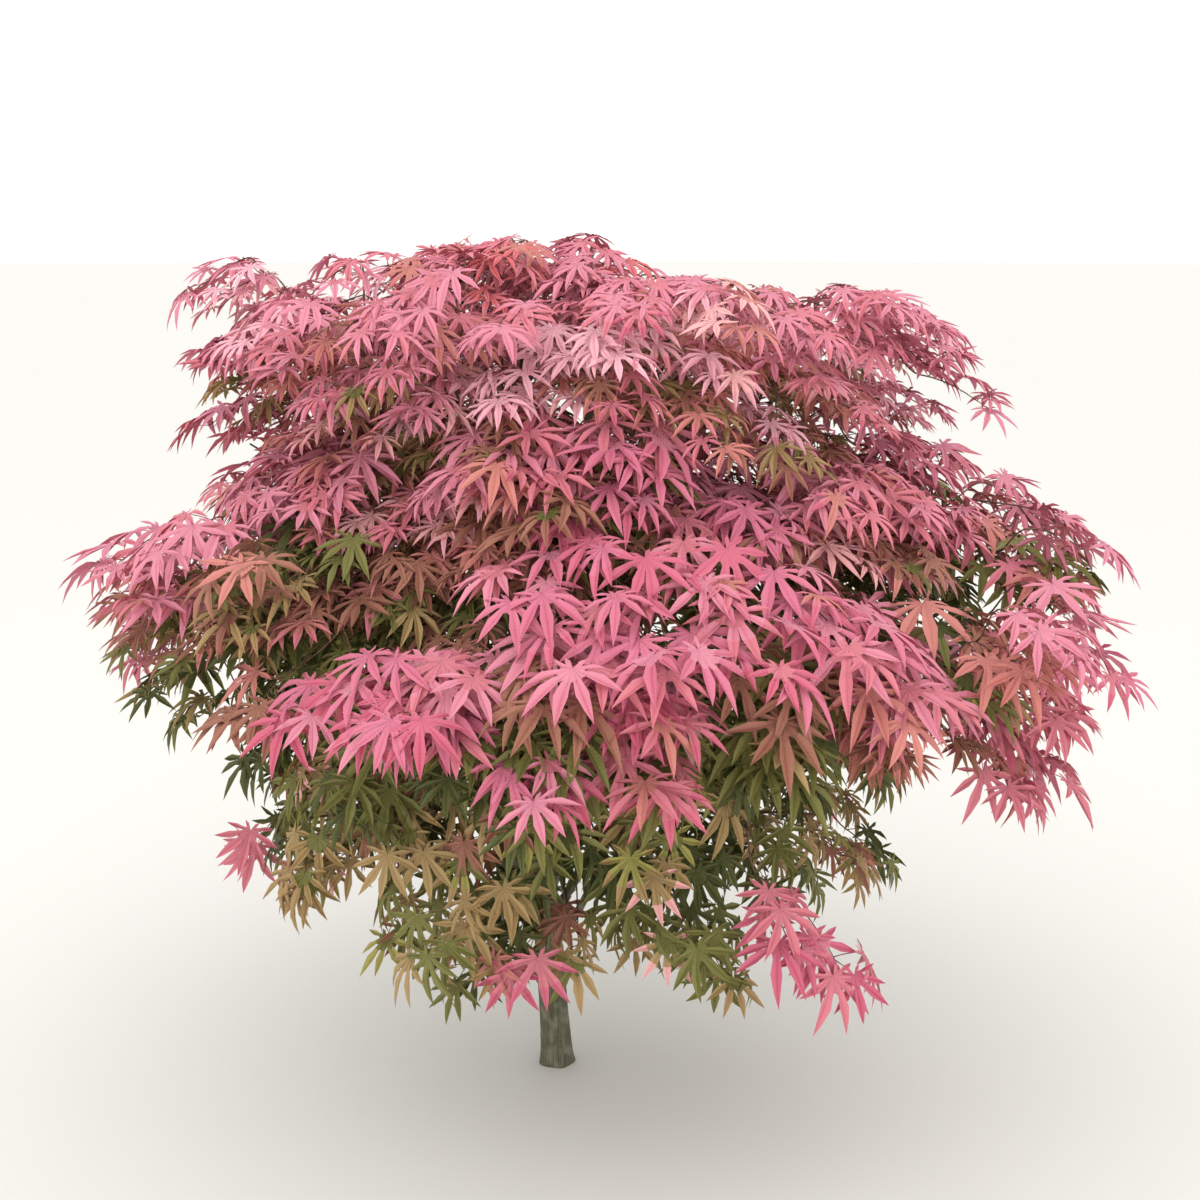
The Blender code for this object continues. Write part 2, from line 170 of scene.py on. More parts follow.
world = bpy.data.worlds.new("pale room")
world.use_nodes = True
background = {"Color": linear("#EFEFEE"), "Strength": WORLD_STRENGTH}
set_inputs(world, world.node_tree.nodes["Background"], background)
scene.world = world
add_lamp("sky", (-0.5, -1.5, 3.0), (0.0, 0.0, 0.6), size=3.0, power=20.0)
add_lamp("fill", (0.6, -3.2, 1.5), (0.0, 0.0, 0.5), size=2.4, power=15.0)

# %% [markdown]
# ## The rule that the solids grew by
# Boughs and foliage have to stay where the solids are, so the same few driving sizes and the
# same seeded steps are written here again: rings of masses round the trunk, each with its own
# azimuth, its entry near the trunk and its rim at the edge of the crown.

# %% Driving sizes
FORK_HEIGHT = 0.312
FOOT_RADIUS = 0.0172
FORK_RADIUS = 0.0150
FLARE = 0.0042
FLARE_HEIGHT = 0.020
ROOT_LOBES = 5
LOBE_SHARE = 0.30
LEAN = 0.022

REACH_RIGHT = 0.730
REACH_LEFT = 0.610
REACH_FRONT = 0.560
REACH_BACK = 0.540

LAYERS = {
    "upper": dict(count=6, turn=4, entry=(0.165, 0.815), rim=(0.71, 0.900), arch=0.045,
                  step=0.018, trunk_height=(0.222, 0.268), radius=(0.0092, 0.0034)),
    "top": dict(count=3, turn=100, entry=(0.055, 0.885), rim=(0.45, 0.945), arch=0.050,
                step=0.0, leader_share=0.72, radius=(0.0040, 0.0028)),
    "middle": dict(count=7, turn=14, entry=(0.215, 0.660), rim=(0.77, 0.735), arch=0.055,
                   step=0.022, leader_share=0.46, radius=(0.0050, 0.0030)),
    "apron": dict(count=7, turn=318, entry=(0.230, 0.555), rim=(1.00, 0.610), arch=0.070,
                  step=0.026, leader_share=0.24, radius=(0.0055, 0.0031)),
    "skirt": dict(count=6, turn=28, entry=(0.145, 0.350), rim=(0.72, 0.365), arch=0.040,
                  step=0.024, trunk_height=(0.150, 0.178), radius=(0.0050, 0.0029)),
}
AZIMUTH_SWING = 0.16
REACH_SWING = 0.05
HEIGHT_SWING = 0.012
MASS_DEPTH = 0.080
SIDE_FALL = 0.030
SCALLOP = 0.08
OVERHANG = 0.088
SECTOR_SHARE = 0.54
SEED = 41
print("layers:", {name: row["count"] for name, row in LAYERS.items()})


# %% Where a mass lies
def unit(vectors):
    """Vectors divided by their own lengths."""
    vectors = np.asarray(vectors, float)
    return vectors / np.maximum(np.linalg.norm(vectors, axis=-1, keepdims=True), 1e-9)


def outward(azimuth, rise=0.0):
    """Unit vectors at azimuths from +X in degrees, tilted up by rise: (cos a, sin a) on the level,
    times the cosine of the rise, with its sine as the height."""
    turn, lift = np.radians(azimuth), np.radians(rise)
    level = np.cos(lift)
    return np.stack(np.broadcast_arrays(level * np.cos(turn), level * np.sin(turn), np.sin(lift)), -1)


def crown_reach(azimuth):
    """An ellipse in four quarters: one over the length of (cos / arm across, sin / arm deep)."""
    turn = np.radians(azimuth)
    across = np.where(np.cos(turn) > 0, REACH_RIGHT, REACH_LEFT)
    deep = np.where(np.sin(turn) > 0, REACH_BACK, REACH_FRONT)
    return 1 / np.hypot(np.cos(turn) / across, np.sin(turn) / deep)


def plan_masses():
    """Each mass's azimuth, entry and rim, with seeded swings round an even spacing."""
    masses = []
    for layer, row in LAYERS.items():
        for i in range(row["count"]):
            swing = random.Random(f"{SEED}{layer}{i}")
            azimuth = row["turn"] + 360 * (i + AZIMUTH_SWING * swing.uniform(-1, 1)) / row["count"]
            step = row["step"] * (1 if i % 2 else -1)
            reach = row["rim"][0] * (1 + REACH_SWING * swing.uniform(-1, 1))
            rim_height = row["rim"][1] + step + HEIGHT_SWING * swing.uniform(-1, 1)
            masses.append(dict(name=f"{layer}_{i + 1}", layer=layer, row=row, azimuth=azimuth % 360,
                               order=i + 1, sector=360 / row["count"] * SECTOR_SHARE,
                               entry_height=row["entry"][1] + step, rim_share=reach,
                               rim_height=rim_height))
    return masses


def layer_point(mass, along, across, depth):
    """Points of a mass. The radius runs evenly from entry to rim; the height follows the rim's
    rise as the square of along, plus an arch of sine, less a fall to the sides and the depth."""
    azimuth = mass["azimuth"] + across * mass["sector"] * (0.55 + 0.45 * along)
    rim = crown_reach(azimuth) * mass["rim_share"] * (1 - SCALLOP * across**2) - OVERHANG
    radius = mass["row"]["entry"][0] + along * (rim - mass["row"]["entry"][0])
    rise = (mass["rim_height"] - mass["entry_height"]) * along**2
    arch = mass["row"]["arch"] * np.sin(np.pi * (0.12 + 0.75 * along))
    height = mass["entry_height"] + rise + arch - SIDE_FALL * across**2 - MASS_DEPTH * depth
    return outward(azimuth) * np.asarray(radius)[..., None] + np.array([0, 0, 1]) * height[..., None]


masses = plan_masses()
print("masses:", len(masses))

# %% [markdown]
# ## Limbs as a profile carried along a path
# A trunk, a bough and a leaf's stalk are all the same kind of surface: a circle carried along a
# curve while its radius changes. One function of two parameters, the way along and the way
# round, makes every one of them, thousands at a time, as whole arrays.


# %% Tubes from paths
def tube_faces(rows, sides):
    """The quads between a tube's rings, which close on themselves across the last side, and the
    fans that close its ends with two more points, the middles of the first and last ring."""
    i, j = np.meshgrid(np.arange(rows - 1), np.arange(sides), indexing="ij")
    k = (j + 1) % sides
    quads = np.stack([i * sides + j, i * sides + k, (i + 1) * sides + k, (i + 1) * sides + j], -1)
    j, k, last = j[0], k[0], (rows - 1) * sides
    fans = [np.stack([k, j, np.full(sides, rows * sides)], -1),
            np.stack([last + j, last + k, np.full(sides, rows * sides + 1)], -1)]
    return quads.reshape(-1, 4), np.concatenate(fans)


def path_frames(paths):
    """Two directions across each point of each path: one square to the path and to a fixed
    direction picked per path, so that the ring doesn't spin, and one square to both."""
    ahead = unit(np.gradient(paths, axis=1))
    chord = unit(paths[:, -1] - paths[:, 0])
    spare = np.where(np.abs(chord[:, 2:]) < 0.8, [[0.0, 0.0, 1.0]], [[1.0, 0.0, 0.0]])
    fixed = unit(spare - (spare * chord).sum(-1, keepdims=True) * chord)[:, None, :]
    side = unit(fixed - (fixed * ahead).sum(-1, keepdims=True) * ahead)
    return side, np.cross(ahead, side)


def tube_arrays(paths, radii, sides):
    """Points, quads and fans of closed tubes. A point of a ring is its path's point + radius
    times (cosine of the turn * side + sine * other side)."""
    count, length = paths.shape[:2]
    side, other = path_frames(paths)
    turn = 2 * np.pi * np.arange(sides) / sides
    ring = np.cos(turn)[:, None] * side[:, :, None] + np.sin(turn)[:, None] * other[:, :, None]
    rings = paths[:, :, None] + radii.reshape(*radii.shape[:2], -1, 1) * ring
    points = np.concatenate([rings.reshape(count, -1, 3), paths[:, :1], paths[:, -1:]], 1)
    start = (np.arange(count) * (length * sides + 2))[:, None, None]
    quads, fans = tube_faces(length, sides)
    return points.reshape(-1, 3), (start + quads).reshape(-1, 4), (start + fans).reshape(-1, 3)


def mesh_object(name, points, quads, tris, uv=None, sharp=None):
    """A smooth object from arrays of points, quads and triangles. uv holds a pair for each
    corner, and sharp is true for points whose edges to each other stay sharp."""
    mesh = bpy.data.meshes.new(name)
    corners = np.concatenate([quads.ravel(), tris.ravel()]).astype(np.int32)
    starts = np.concatenate([np.arange(len(quads)) * 4, len(quads) * 4 + np.arange(len(tris)) * 3])
    mesh.vertices.add(len(points))
    mesh.vertices.foreach_set("co", points.astype(np.float32).ravel())
    mesh.loops.add(len(corners))
    mesh.loops.foreach_set("vertex_index", corners)
    mesh.polygons.add(len(starts))
    mesh.polygons.foreach_set("loop_start", starts.astype(np.int32))
    mesh.update(calc_edges=True)
    mesh.polygons.foreach_set("use_smooth", np.ones(len(starts), bool))
    if uv is not None:
        layer = mesh.uv_layers.new(name="surface")
        layer.data.foreach_set("uv", uv.astype(np.float32).ravel())
    if sharp is not None:
        ends = np.zeros(len(mesh.edges) * 2, np.int32)
        mesh.edges.foreach_get("vertices", ends)
        marks = mesh.attributes.new("sharp_edge", "BOOLEAN", "EDGE")
        marks.data.foreach_set("value", sharp[ends.reshape(-1, 2)].all(1))
    obj = bpy.data.objects.new(name, mesh)
    scene.collection.objects.link(obj)
    return obj


print("a ten-sided tube of four rings has", len(tube_faces(4, 10)[0]), "quads")

# %% [markdown]
# ## Trunk
# The trunk is young and thin-barked, with fine upright streaks, a few scars round it where
# shoots once stood, and small raised pores. The solid's taper and root lobes are kept, and the
# relief is added to its radius as a sum of waves round the trunk that wander as they climb.
# Real relief in the mesh, and not only bump, keeps the outline from looking turned on a lathe.


# %% Trunk surface
def trunk_axis(height):
    """Upright at the ground, leaning to the left by a power of 1.2, with a slight sway in depth."""
    share = np.clip(height / FORK_HEIGHT, 0, None)
    return np.stack([-LEAN * share**1.2, 0.2 * LEAN * np.sin(np.pi * share), height], -1)


def trunk_radius(height, angle):
    """Straight taper, plus a flare that dies away above the ground, with five lobes."""
    taper = FOOT_RADIUS + (FORK_RADIUS - FOOT_RADIUS) * height / FORK_HEIGHT
    flare = FLARE * np.exp(-height / FLARE_HEIGHT)
    return taper + flare * (1 + LOBE_SHARE * np.cos(ROOT_LOBES * angle))


def streaks(angle, height, waves, seed):
    """A sum of cosines round the limb, one per pair of count and depth. Each one's phase wanders
    with the height as a slow sine, so that no groove runs dead straight."""
    rng = np.random.default_rng(seed)
    total = np.zeros(np.broadcast(angle, height).shape)
    for count, depth in waves:
        phase, wander, pitch = rng.uniform(0, 6.28), rng.uniform(0.8, 1.8), rng.uniform(40, 90)
        total += depth * np.cos(count * angle + phase + wander * np.sin(pitch * height + phase))
    return total


SCARS = 46
SCAR_DEPTH = 0.00035
SCAR_THICKNESS = 0.0009


def scars(angle, height, seed):
    """Short level ridges: a bell curve up the trunk times one round it, for each seeded scar."""
    rng = np.random.default_rng(seed)
    at_height = rng.uniform(0.005, FORK_HEIGHT, SCARS)[:, None, None]
    at_angle = rng.uniform(-np.pi, np.pi, SCARS)[:, None, None]
    half = rng.uniform(0.25, 1.1, SCARS)[:, None, None]
    gap = np.abs((angle - at_angle + np.pi) % (2 * np.pi) - np.pi)
    return (SCAR_DEPTH * np.exp(-((height - at_height) / SCAR_THICKNESS) ** 2 - (gap / half) ** 2)).sum(0)


def limb_uv(lengths, girths, columns, fans):
    """A pair for each corner of limbs' quads: the way round and the way along, in metres, so
    that a pattern has its real size. The last column ends at a full turn, not back at zero.
    The fans at the ends get zeros."""
    i, j = np.meshgrid(np.arange(lengths.shape[1] - 1), np.arange(columns), indexing="ij")
    round_way = np.stack([j, j + 1, j + 1, j], -1) / columns * girths[:, None, None, None]
    along = lengths[:, np.stack([i, i, i + 1, i + 1], -1)]
    return np.concatenate([np.stack([round_way, along], -1).reshape(-1, 2), np.zeros((fans.size, 2))])


# %% Trunk mesh
TRUNK_RINGS = 170
TRUNK_SIDES = 120
BARK_WAVES = ((5, 0.00022), (9, 0.00020), (14, 0.00016), (23, 0.00012), (37, 0.00008))
FORK_ROUNDING = 0.030
TIP_SHARE = 0.35
TIP_RISE = 0.0015

levels = np.linspace(0, FORK_HEIGHT, TRUNK_RINGS)[:, None]
turn = np.linspace(0, 2 * np.pi, TRUNK_SIDES + 1)[None, :-1]
closing = np.sqrt(np.clip((FORK_HEIGHT - levels) / FORK_ROUNDING, 0, 1))
skin = trunk_radius(levels, turn) + streaks(turn, levels, BARK_WAVES, seed=1)
skin = skin + scars(turn, levels, seed=2)
skin = skin * np.minimum(1, TIP_SHARE + (1 - TIP_SHARE) * closing)
middle = trunk_axis(levels[:, 0])
ring = np.stack([np.cos(turn), np.sin(turn), 0 * turn], -1)
trunk_points = (middle[:, None] + skin[..., None] * ring).reshape(-1, 3)
trunk_points = np.concatenate([trunk_points, middle[:1], middle[-1:] + [[0, 0, TIP_RISE]]])
trunk_quads, trunk_tris = tube_faces(TRUNK_RINGS, TRUNK_SIDES)
trunk_uv = limb_uv(levels.T, np.array([2 * np.pi * FOOT_RADIUS]), TRUNK_SIDES, trunk_tris)
trunk = mesh_object("trunk_bark", trunk_points, trunk_quads, trunk_tris, uv=trunk_uv)
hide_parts("trunk")
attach(trunk, "root")
print("trunk quads:", len(trunk_quads), "thickest radius:", round(float(skin.max()), 4))

# %% [markdown]
# ## Boughs
# Each bough leaves its parent steeply and arches over to its mass, on a cubic curve with two
# handles. In the solids it bends aside where it would have hit another limb, so here every bend
# that the rule allows is tried, and the one that runs through the middle of the solid is kept.
# A bough grows out of its parent with a collar, so its radius swells at its foot.

# %% Bough paths
BOUGH_RISE = 38
LEAVE_SHARE = 0.42
ARRIVE_SHARE = 0.34
ARRIVE_RISE = 0.35
LEADER_SPREAD = 0.06
SWERVES = (0, 14, -14, 28, -28, 42, -42, 56, -56)
COARSE_POINTS = 8
PATH_POINTS = 48


def cubic(start, leave, arrive, end, count):
    """Points of a cubic curve: the four points weighted by the Bernstein terms."""
    t = np.linspace(0, 1, count)[:, None]
    s = 1 - t
    return s**3 * start + 3 * s * s * t * leave + 3 * s * t * t * arrive + t**3 * end


def point_on(points, share):
    """The point at a share of the way along a row of points."""
    place = share * (len(points) - 1)
    i = min(int(place), len(points) - 2)
    return points[i] + (points[i + 1] - points[i]) * (place - i)


def route(mass, start, swerve, count):
    """The bough's curve from a start on its parent to its mass's entry."""
    entry_radius = mass["row"]["entry"][0]
    end = outward(mass["azimuth"]) * entry_radius + [0, 0, mass["entry_height"]]
    span = np.linalg.norm(end - start)
    leave = start + outward(mass["azimuth"] + swerve, BOUGH_RISE) * span * LEAVE_SHARE
    arrive = end - unit(outward(mass["azimuth"]) + [0, 0, ARRIVE_RISE]) * span * ARRIVE_SHARE
    return cubic(start, leave, arrive, end, count)


def distance_to(points, path):
    """The mean distance from each point to the nearest point of a path."""
    return np.linalg.norm(points[:, None] - path[None], axis=-1).min(1).mean()


leaders = {}
misses = []
for mass in masses:
    row = mass["row"]
    if "trunk_height" in row:
        low_start, high_start = row["trunk_height"]
        start = trunk_axis(np.array(high_start if mass["order"] % 2 else low_start))
    else:
        gaps = {name: abs((azimuth - mass["azimuth"] + 180) % 360 - 180)
                for name, (azimuth, _) in leaders.items()}
        leader = min(gaps, key=gaps.get)
        spread = random.Random(mass["name"]).uniform(-LEADER_SPREAD, LEADER_SPREAD)
        start = point_on(leaders[leader][1], row["leader_share"] + spread)
    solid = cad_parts["bough_" + mass["name"]].data
    seen = np.zeros(len(solid.vertices) * 3, np.float32)
    solid.vertices.foreach_get("co", seen)
    seen = seen.reshape(-1, 3)
    swerve = min(SWERVES, key=lambda s: distance_to(seen, route(mass, start, s, PATH_POINTS)))
    mass["path"] = route(mass, start, swerve, PATH_POINTS)
    misses.append(distance_to(seen, mass["path"]))
    if mass["layer"] == "upper":
        leaders[mass["name"]] = (mass["azimuth"], route(mass, start, swerve, COARSE_POINTS))
print("solids lie within", round(max(misses) * 1000, 1), "mm of their paths")

# %% Bough meshes
BOUGH_SIDES = 20
COLLAR = 0.40
COLLAR_LENGTH = 0.012
KNUCKLE = 0.10
KNUCKLE_LENGTH = 0.003
KNUCKLE_SPACING = 0.034
BOUGH_WAVES = ((3, 0.05), (5, 0.035), (8, 0.02))

paths = np.stack([mass["path"] for mass in masses])
steps = np.linalg.norm(np.diff(paths, axis=1), axis=-1)
lengths = np.concatenate([np.zeros((len(masses), 1)), np.cumsum(steps, 1)], 1)
shares = lengths / lengths[:, -1:]
ends = np.array([mass["row"]["radius"] for mass in masses])
radii = ends[:, :1] + (ends[:, 1:] - ends[:, :1]) * shares
collar = 1 + COLLAR * np.exp(-np.maximum(lengths - ends[:, :1] * 1.5, 0) / COLLAR_LENGTH)
knuckle_phase = np.random.default_rng(5).uniform(0, KNUCKLE_SPACING, (len(masses), 1))
knuckle_gap = (lengths + knuckle_phase) % KNUCKLE_SPACING - KNUCKLE_SPACING / 2
knuckles = 1 + KNUCKLE * np.exp(-((knuckle_gap / KNUCKLE_LENGTH) ** 2))
around = 2 * np.pi * np.arange(BOUGH_SIDES) / BOUGH_SIDES
relief = streaks(around[None, None], lengths[..., None], BOUGH_WAVES, seed=6)
bough_radii = (radii * collar * knuckles)[..., None] * (1 + relief)
bough_points, bough_quads, bough_tris = tube_arrays(paths, bough_radii, BOUGH_SIDES)
bough_uv = limb_uv(lengths, 2 * np.pi * ends[:, 0], BOUGH_SIDES, bough_tris)
boughs = mesh_object("bough_bark", bough_points, bough_quads, bough_tris, uv=bough_uv)
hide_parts(*["bough_" + mass["name"] for mass in masses])
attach(boughs, "root")
print("boughs:", len(masses), "quads:", len(bough_quads))

# %% [markdown]
# ## Bark
# Young maple bark is smooth and matt, grey-green to olive brown, with fine upright streaks about
# a millimetre apart, pale patches, and small level pores. The pattern reads the limb's own map,
# which is in metres round and along, so the streaks follow every bend. The same streaks drive
# the colour, the roughness and the bump.

# %% Bark material
# How many times a metre each pattern repeats round and along, its detail, roughness and ramp.
BARK_PATTERNS = {
    "streak": ((700.0, 38.0, 1.0), 5.0, 0.6, [(0.30, "#3A382C"), (0.50, "#5D5A47"), (0.72, "#7E7964")]),
    "pore": ((190.0, 620.0, 1.0), 2.0, 0.5, [(0.64, "#000000"), (0.70, "#B4B4B4")]),
    "patch": ((70.0, 42.0, 1.0), 3.0, 0.5, [(0.48, "#000000"), (0.64, "#B0B0B0")]),
}
bark, bark_shader = new_material("smooth young bark", {"IOR": 1.45, "Metallic": 0.0})
surface = add_node(bark, "ShaderNodeUVMap", {}, uv_map="surface")
noises, ramps = {}, {}
for name, (scale, detail, rough, stops) in BARK_PATTERNS.items():
    scaled = add_node(bark, "ShaderNodeMapping", {"Vector": surface, "Scale": scale})
    noises[name] = add_node(bark, "ShaderNodeTexNoise", {
        "Vector": scaled, "Scale": 1.0, "Detail": detail, "Roughness": rough})
    ramps[name] = add_node(bark, "ShaderNodeValToRGB", {"Fac": noises[name]})
    set_ramp(ramps[name], stops)
patched = add_node(bark, "ShaderNodeMix", {
    "Factor": ramps["patch"], "A": ramps["streak"], "B": linear("#98967F")}, data_type="RGBA")
pored = add_node(bark, "ShaderNodeMix", {
    "Factor": ramps["pore"], "A": patched.outputs["Result"], "B": linear("#8E8468")}, data_type="RGBA")
dryness = add_node(bark, "ShaderNodeMapRange", {
    "Value": noises["streak"], "To Min": 0.95, "To Max": 0.72})
bump = add_node(bark, "ShaderNodeBump", {
    "Height": noises["streak"], "Strength": 0.55, "Distance": 0.0008})
set_inputs(bark, bark_shader, {
    "Base Color": pored.outputs["Result"], "Roughness": dryness, "Normal": bump})
trunk.data.materials.append(bark)
boughs.data.materials.append(bark)
print("bark nodes:", len(bark.node_tree.nodes))

# %% [markdown]
# ## Stems and twigs
# Past its bough each mass has a stem, and from the stem fine twigs run out to sprays of leaves.
# The places of the sprays are spread as evenly as the leaves of the solid were, by two steps that
# never repeat. Each twig starts at the nearest point that already bears wood and lies nearer to
# the trunk, so that twigs branch from twigs and none doubles back, as they do on the real plant.

# %% Stems through the masses
STEM_INSET = 0.004
STEM_START = 0.020
STEM_PLACES = ((0.30, 0.75), (0.62, 0.70), (0.88, 0.55))
STEM_POINTS = 22
STEM_ENDS = (0.0024, 0.0011)


def smooth_path(corners, count):
    """A smooth curve through a row of points. Between two of them it is a cubic whose slope at
    each is half of the way from the point before to the point after."""
    first, last = 2 * corners[0] - corners[1], 2 * corners[-1] - corners[-2]
    padded = np.concatenate([[first], corners, [last]])
    place = np.linspace(0, len(corners) - 1, count)
    i = np.minimum(place.astype(int), len(corners) - 2)
    t = (place - i)[:, None]
    a, b, c, d = (padded[i + k] for k in range(4))
    return 0.5 * (2 * b + (c - a) * t + (2 * a - 5 * b + 4 * c - d) * t**2 + (3 * b - a - 3 * c + d) * t**3)


stems = []
for mass in masses:
    tip = mass["path"][-1]
    heading = unit(tip - mass["path"][-3])
    inner = [tip - heading * STEM_INSET, tip + heading * STEM_START]
    outer = [layer_point(mass, *map(np.array, (along, 0.0, depth))) for along, depth in STEM_PLACES]
    stems.append(smooth_path(np.array(inner + outer), STEM_POINTS))
stems = np.stack(stems)
stem_radii = np.repeat(np.linspace(*STEM_ENDS, STEM_POINTS)[None], len(masses), 0)
print("stems:", stems.shape[:2], "points each")

# %% [markdown]
# Most sprays come from the rule, with sizes that differ from tier to tier. Like every real tree
# this one also has sprays that no rule would give: sprigs that stick out of a tier or fill the
# gap between two, so a short list adds them. At the front on the left the tiers draw
# back into a hollow where older leaves show in the shade.

# %% Sizes of the sprays
SPRAYS = {"upper": 33, "top": 24, "middle": 28, "apron": 30, "skirt": 30}
# How far below a tier's arch its highest and its lowest sprays lie.
FILL = {"upper": (-0.020, 0.130), "top": (-0.010, 0.080), "middle": (-0.010, 0.140),
        "apron": (-0.005, 0.112), "skirt": (-0.150, 0.110)}
# How far the leaves look down in degrees: near the trunk, and how much more at the rim.
SPRAY_FALL = {"upper": (14, 14), "top": (10, 12), "middle": (14, 12), "apron": (16, 14),
              "skirt": (40, 20)}
# How far the sprays reach past the rim of the solids.
RIM_SPARE = {"upper": 0.055, "top": 0.020, "middle": 0.006, "apron": 0.012, "skirt": 0.010}
# Masses whose sprays lie lower, and the height that none passes, for dips in the outline.
LOWERED = {"top_1": 0.014, "top_3": 0.038, "upper_2": 0.018}
CEILING = 0.960
HOLLOW_AZIMUTH = 240
HOLLOW_WIDTH = 13
HOLLOW_SHARES = {"apron": 0.32, "middle": 0.14}
HOLLOW_LEAVES = 0.30
FIRST_LEAF = 0.12
EVEN_STEPS = (0.7549, 0.5698)
TIER_WOBBLE = 0.012
DEPTH_SHRINK = 0.10
EDGE_TURN = 0.9
AZIMUTH_NOISE = 22
TILT_SHARE = 0.45
TILT_NOISE = 9
SPRIG_TILT = 0.5
SPRAY_SET_BACK = 0.050
SPRAY_LENGTH = (0.040, 0.062)
SPRAY_SAG = 0.28
SPRAY_LEAVES = {"upper": 9, "top": 9, "middle": 9, "apron": 7, "skirt": 6}

# Runs of sprigs in a tier, each with its place in millimetres, azimuth, fall and number of leaves.
SPRIGS = (
    ("skirt", (
        (200, -285, 392, 290, 56, 3), (208, -290, 346, 300, 58, 4), (248, -290, 316, 312, 54, 4),
        (-22, -235, 306, 262, 62, 3), (-265, -120, 385, 205, 60, 3), (-215, -190, 385, 225, 60, 5),
        (-95, -260, 334, 250, 62, 5), (120, -270, 348, 285, 62, 4), (-157, -190, 455, 235, 56, 7),
        (-195, -165, 465, 222, 54, 7), (-130, -230, 425, 247, 58, 6), (-110, -200, 380, 240, 60, 7))),
    ("upper", ((300, -40, 785, 348, 14, 9),)),
    ("middle", (
        (335, -20, 745, 356, 18, 9), (360, -80, 715, 345, 20, 9), (190, -120, 740, 302, 20, 9),
        (110, -150, 745, 283, 20, 9))),
    ("upper", (
        (395, -60, 825, 352, 18, 9), (380, 20, 865, 5, 14, 9), (330, -80, 900, 345, 12, 9),
        (-285, -60, 868, 190, 16, 9))),
    ("middle", ((-270, -80, 738, 192, 16, 9),)),
    ("apron", ((500, -60, 640, 352, 20, 9),)),
    ("top", (
        (-145, -70, 940, 215, -20, 7), (-75, -110, 945, 255, -30, 7), (30, -140, 920, 275, 0, 9),
        (10, 70, 905, 80, 4, 9), (-50, 20, 905, 160, 4, 9), (60, 20, 895, 20, 4, 9),
        (0, 20, 890, 260, 0, 9), (30, 160, 925, 75, -14, 7))),
    ("apron", (
        (-130, -360, 585, 252, 30, 7), (-190, -325, 572, 238, 30, 7), (-112, -385, 592, 260, 34, 7),
        (-240, -270, 560, 226, 32, 6), (430, -120, 500, 345, 34, 9), (470, -40, 520, 356, 34, 9),
        (400, -190, 520, 332, 36, 9), (450, -190, 475, 335, 50, 7), (415, -225, 482, 325, 50, 6))),
    ("middle", (
        (-10, -325, 680, 262, 24, 7), (65, -335, 690, 272, 24, 6), (140, -320, 685, 285, 24, 7),
        (210, -295, 680, 298, 24, 6))),
    ("apron", (
        (30, -380, 635, 266, 26, 6), (105, -385, 635, 278, 26, 7), (180, -365, 630, 292, 26, 6),
        (250, -330, 630, 304, 26, 7))),
)
print("sprays by the rule in a mass of each tier:", SPRAYS)


# %% Sprays
def spray_places(count, rng):
    """Even places in a mass: along by equal areas from the rim inwards, across and depth by steps
    of two fixed fractions of one."""
    k = np.arange(count)
    across, depth = ((rng.random() + k * step) % 1 for step in EVEN_STEPS)
    along = FIRST_LEAF + (1 - FIRST_LEAF) * np.sqrt(1 - (k + 0.5) / count)
    return along, 2 * across - 1, depth


sprays = []
for index, mass in enumerate(masses):
    layer = mass["layer"]
    rng = np.random.default_rng([SEED, index])
    along, across, depth = spray_places(SPRAYS[layer], rng)
    highest, lowest = FILL[layer]
    below = highest + (lowest - highest) * depth**1.2
    places = layer_point(mass, along, across, below / MASS_DEPTH)
    level = np.linalg.norm(places[:, :2], axis=1)
    wider = 1 + RIM_SPARE[layer] * along / level - DEPTH_SHRINK * depth
    turned = np.degrees(np.arctan2(places[:, 1], places[:, 0])) % 360
    hollow = np.exp(-(((turned - HOLLOW_AZIMUTH) / HOLLOW_WIDTH) ** 2))
    wider -= HOLLOW_SHARES.get(layer, 0) * hollow
    places[:, :2] *= wider[:, None]
    smaller = 1 - HOLLOW_LEAVES * hollow * (layer in HOLLOW_SHARES)
    places[:, 2] += TIER_WOBBLE * (rng.normal(0, 0.7) + rng.normal(0, 0.9, len(along)))
    places[:, 2] = np.minimum(places[:, 2] - LOWERED.get(mass["name"], 0), CEILING)
    hang, rim_hang = SPRAY_FALL[layer]
    azimuths = mass["azimuth"] + across * mass["sector"] * EDGE_TURN
    azimuths = azimuths + rng.uniform(-AZIMUTH_NOISE, AZIMUTH_NOISE, len(along))
    falls = hang + rim_hang * along
    tilts = -TILT_SHARE * falls + rng.uniform(-TILT_NOISE, TILT_NOISE, len(along))
    headings = outward(azimuths, tilts)
    for i in np.argsort(along):
        sprays.append(dict(mass=index, base=places[i] - headings[i] * SPRAY_SET_BACK,
                           heading=headings[i], length=rng.uniform(*SPRAY_LENGTH), fall=falls[i],
                           azimuth=azimuths[i], along=along[i], depth=depth[i], scale=smaller[i],
                           leaves=SPRAY_LEAVES[layer]))
for layer, run in SPRIGS:
    own = [i for i, mass in enumerate(masses) if mass["layer"] == layer]
    for *place, azimuth, fall, leaves in run:
        place = np.array(place) / 1000
        turned = math.degrees(math.atan2(place[1], place[0]))
        index = min(own, key=lambda i: abs((masses[i]["azimuth"] - turned + 180) % 360 - 180))
        sprays.append(dict(mass=index, base=place, heading=outward(azimuth, -SPRIG_TILT * fall),
                           length=SPRAY_LENGTH[1], fall=fall, azimuth=azimuth, along=1.0, depth=0.0,
                           leaves=leaves, scale=1.0))
print("sprays:", len(sprays))

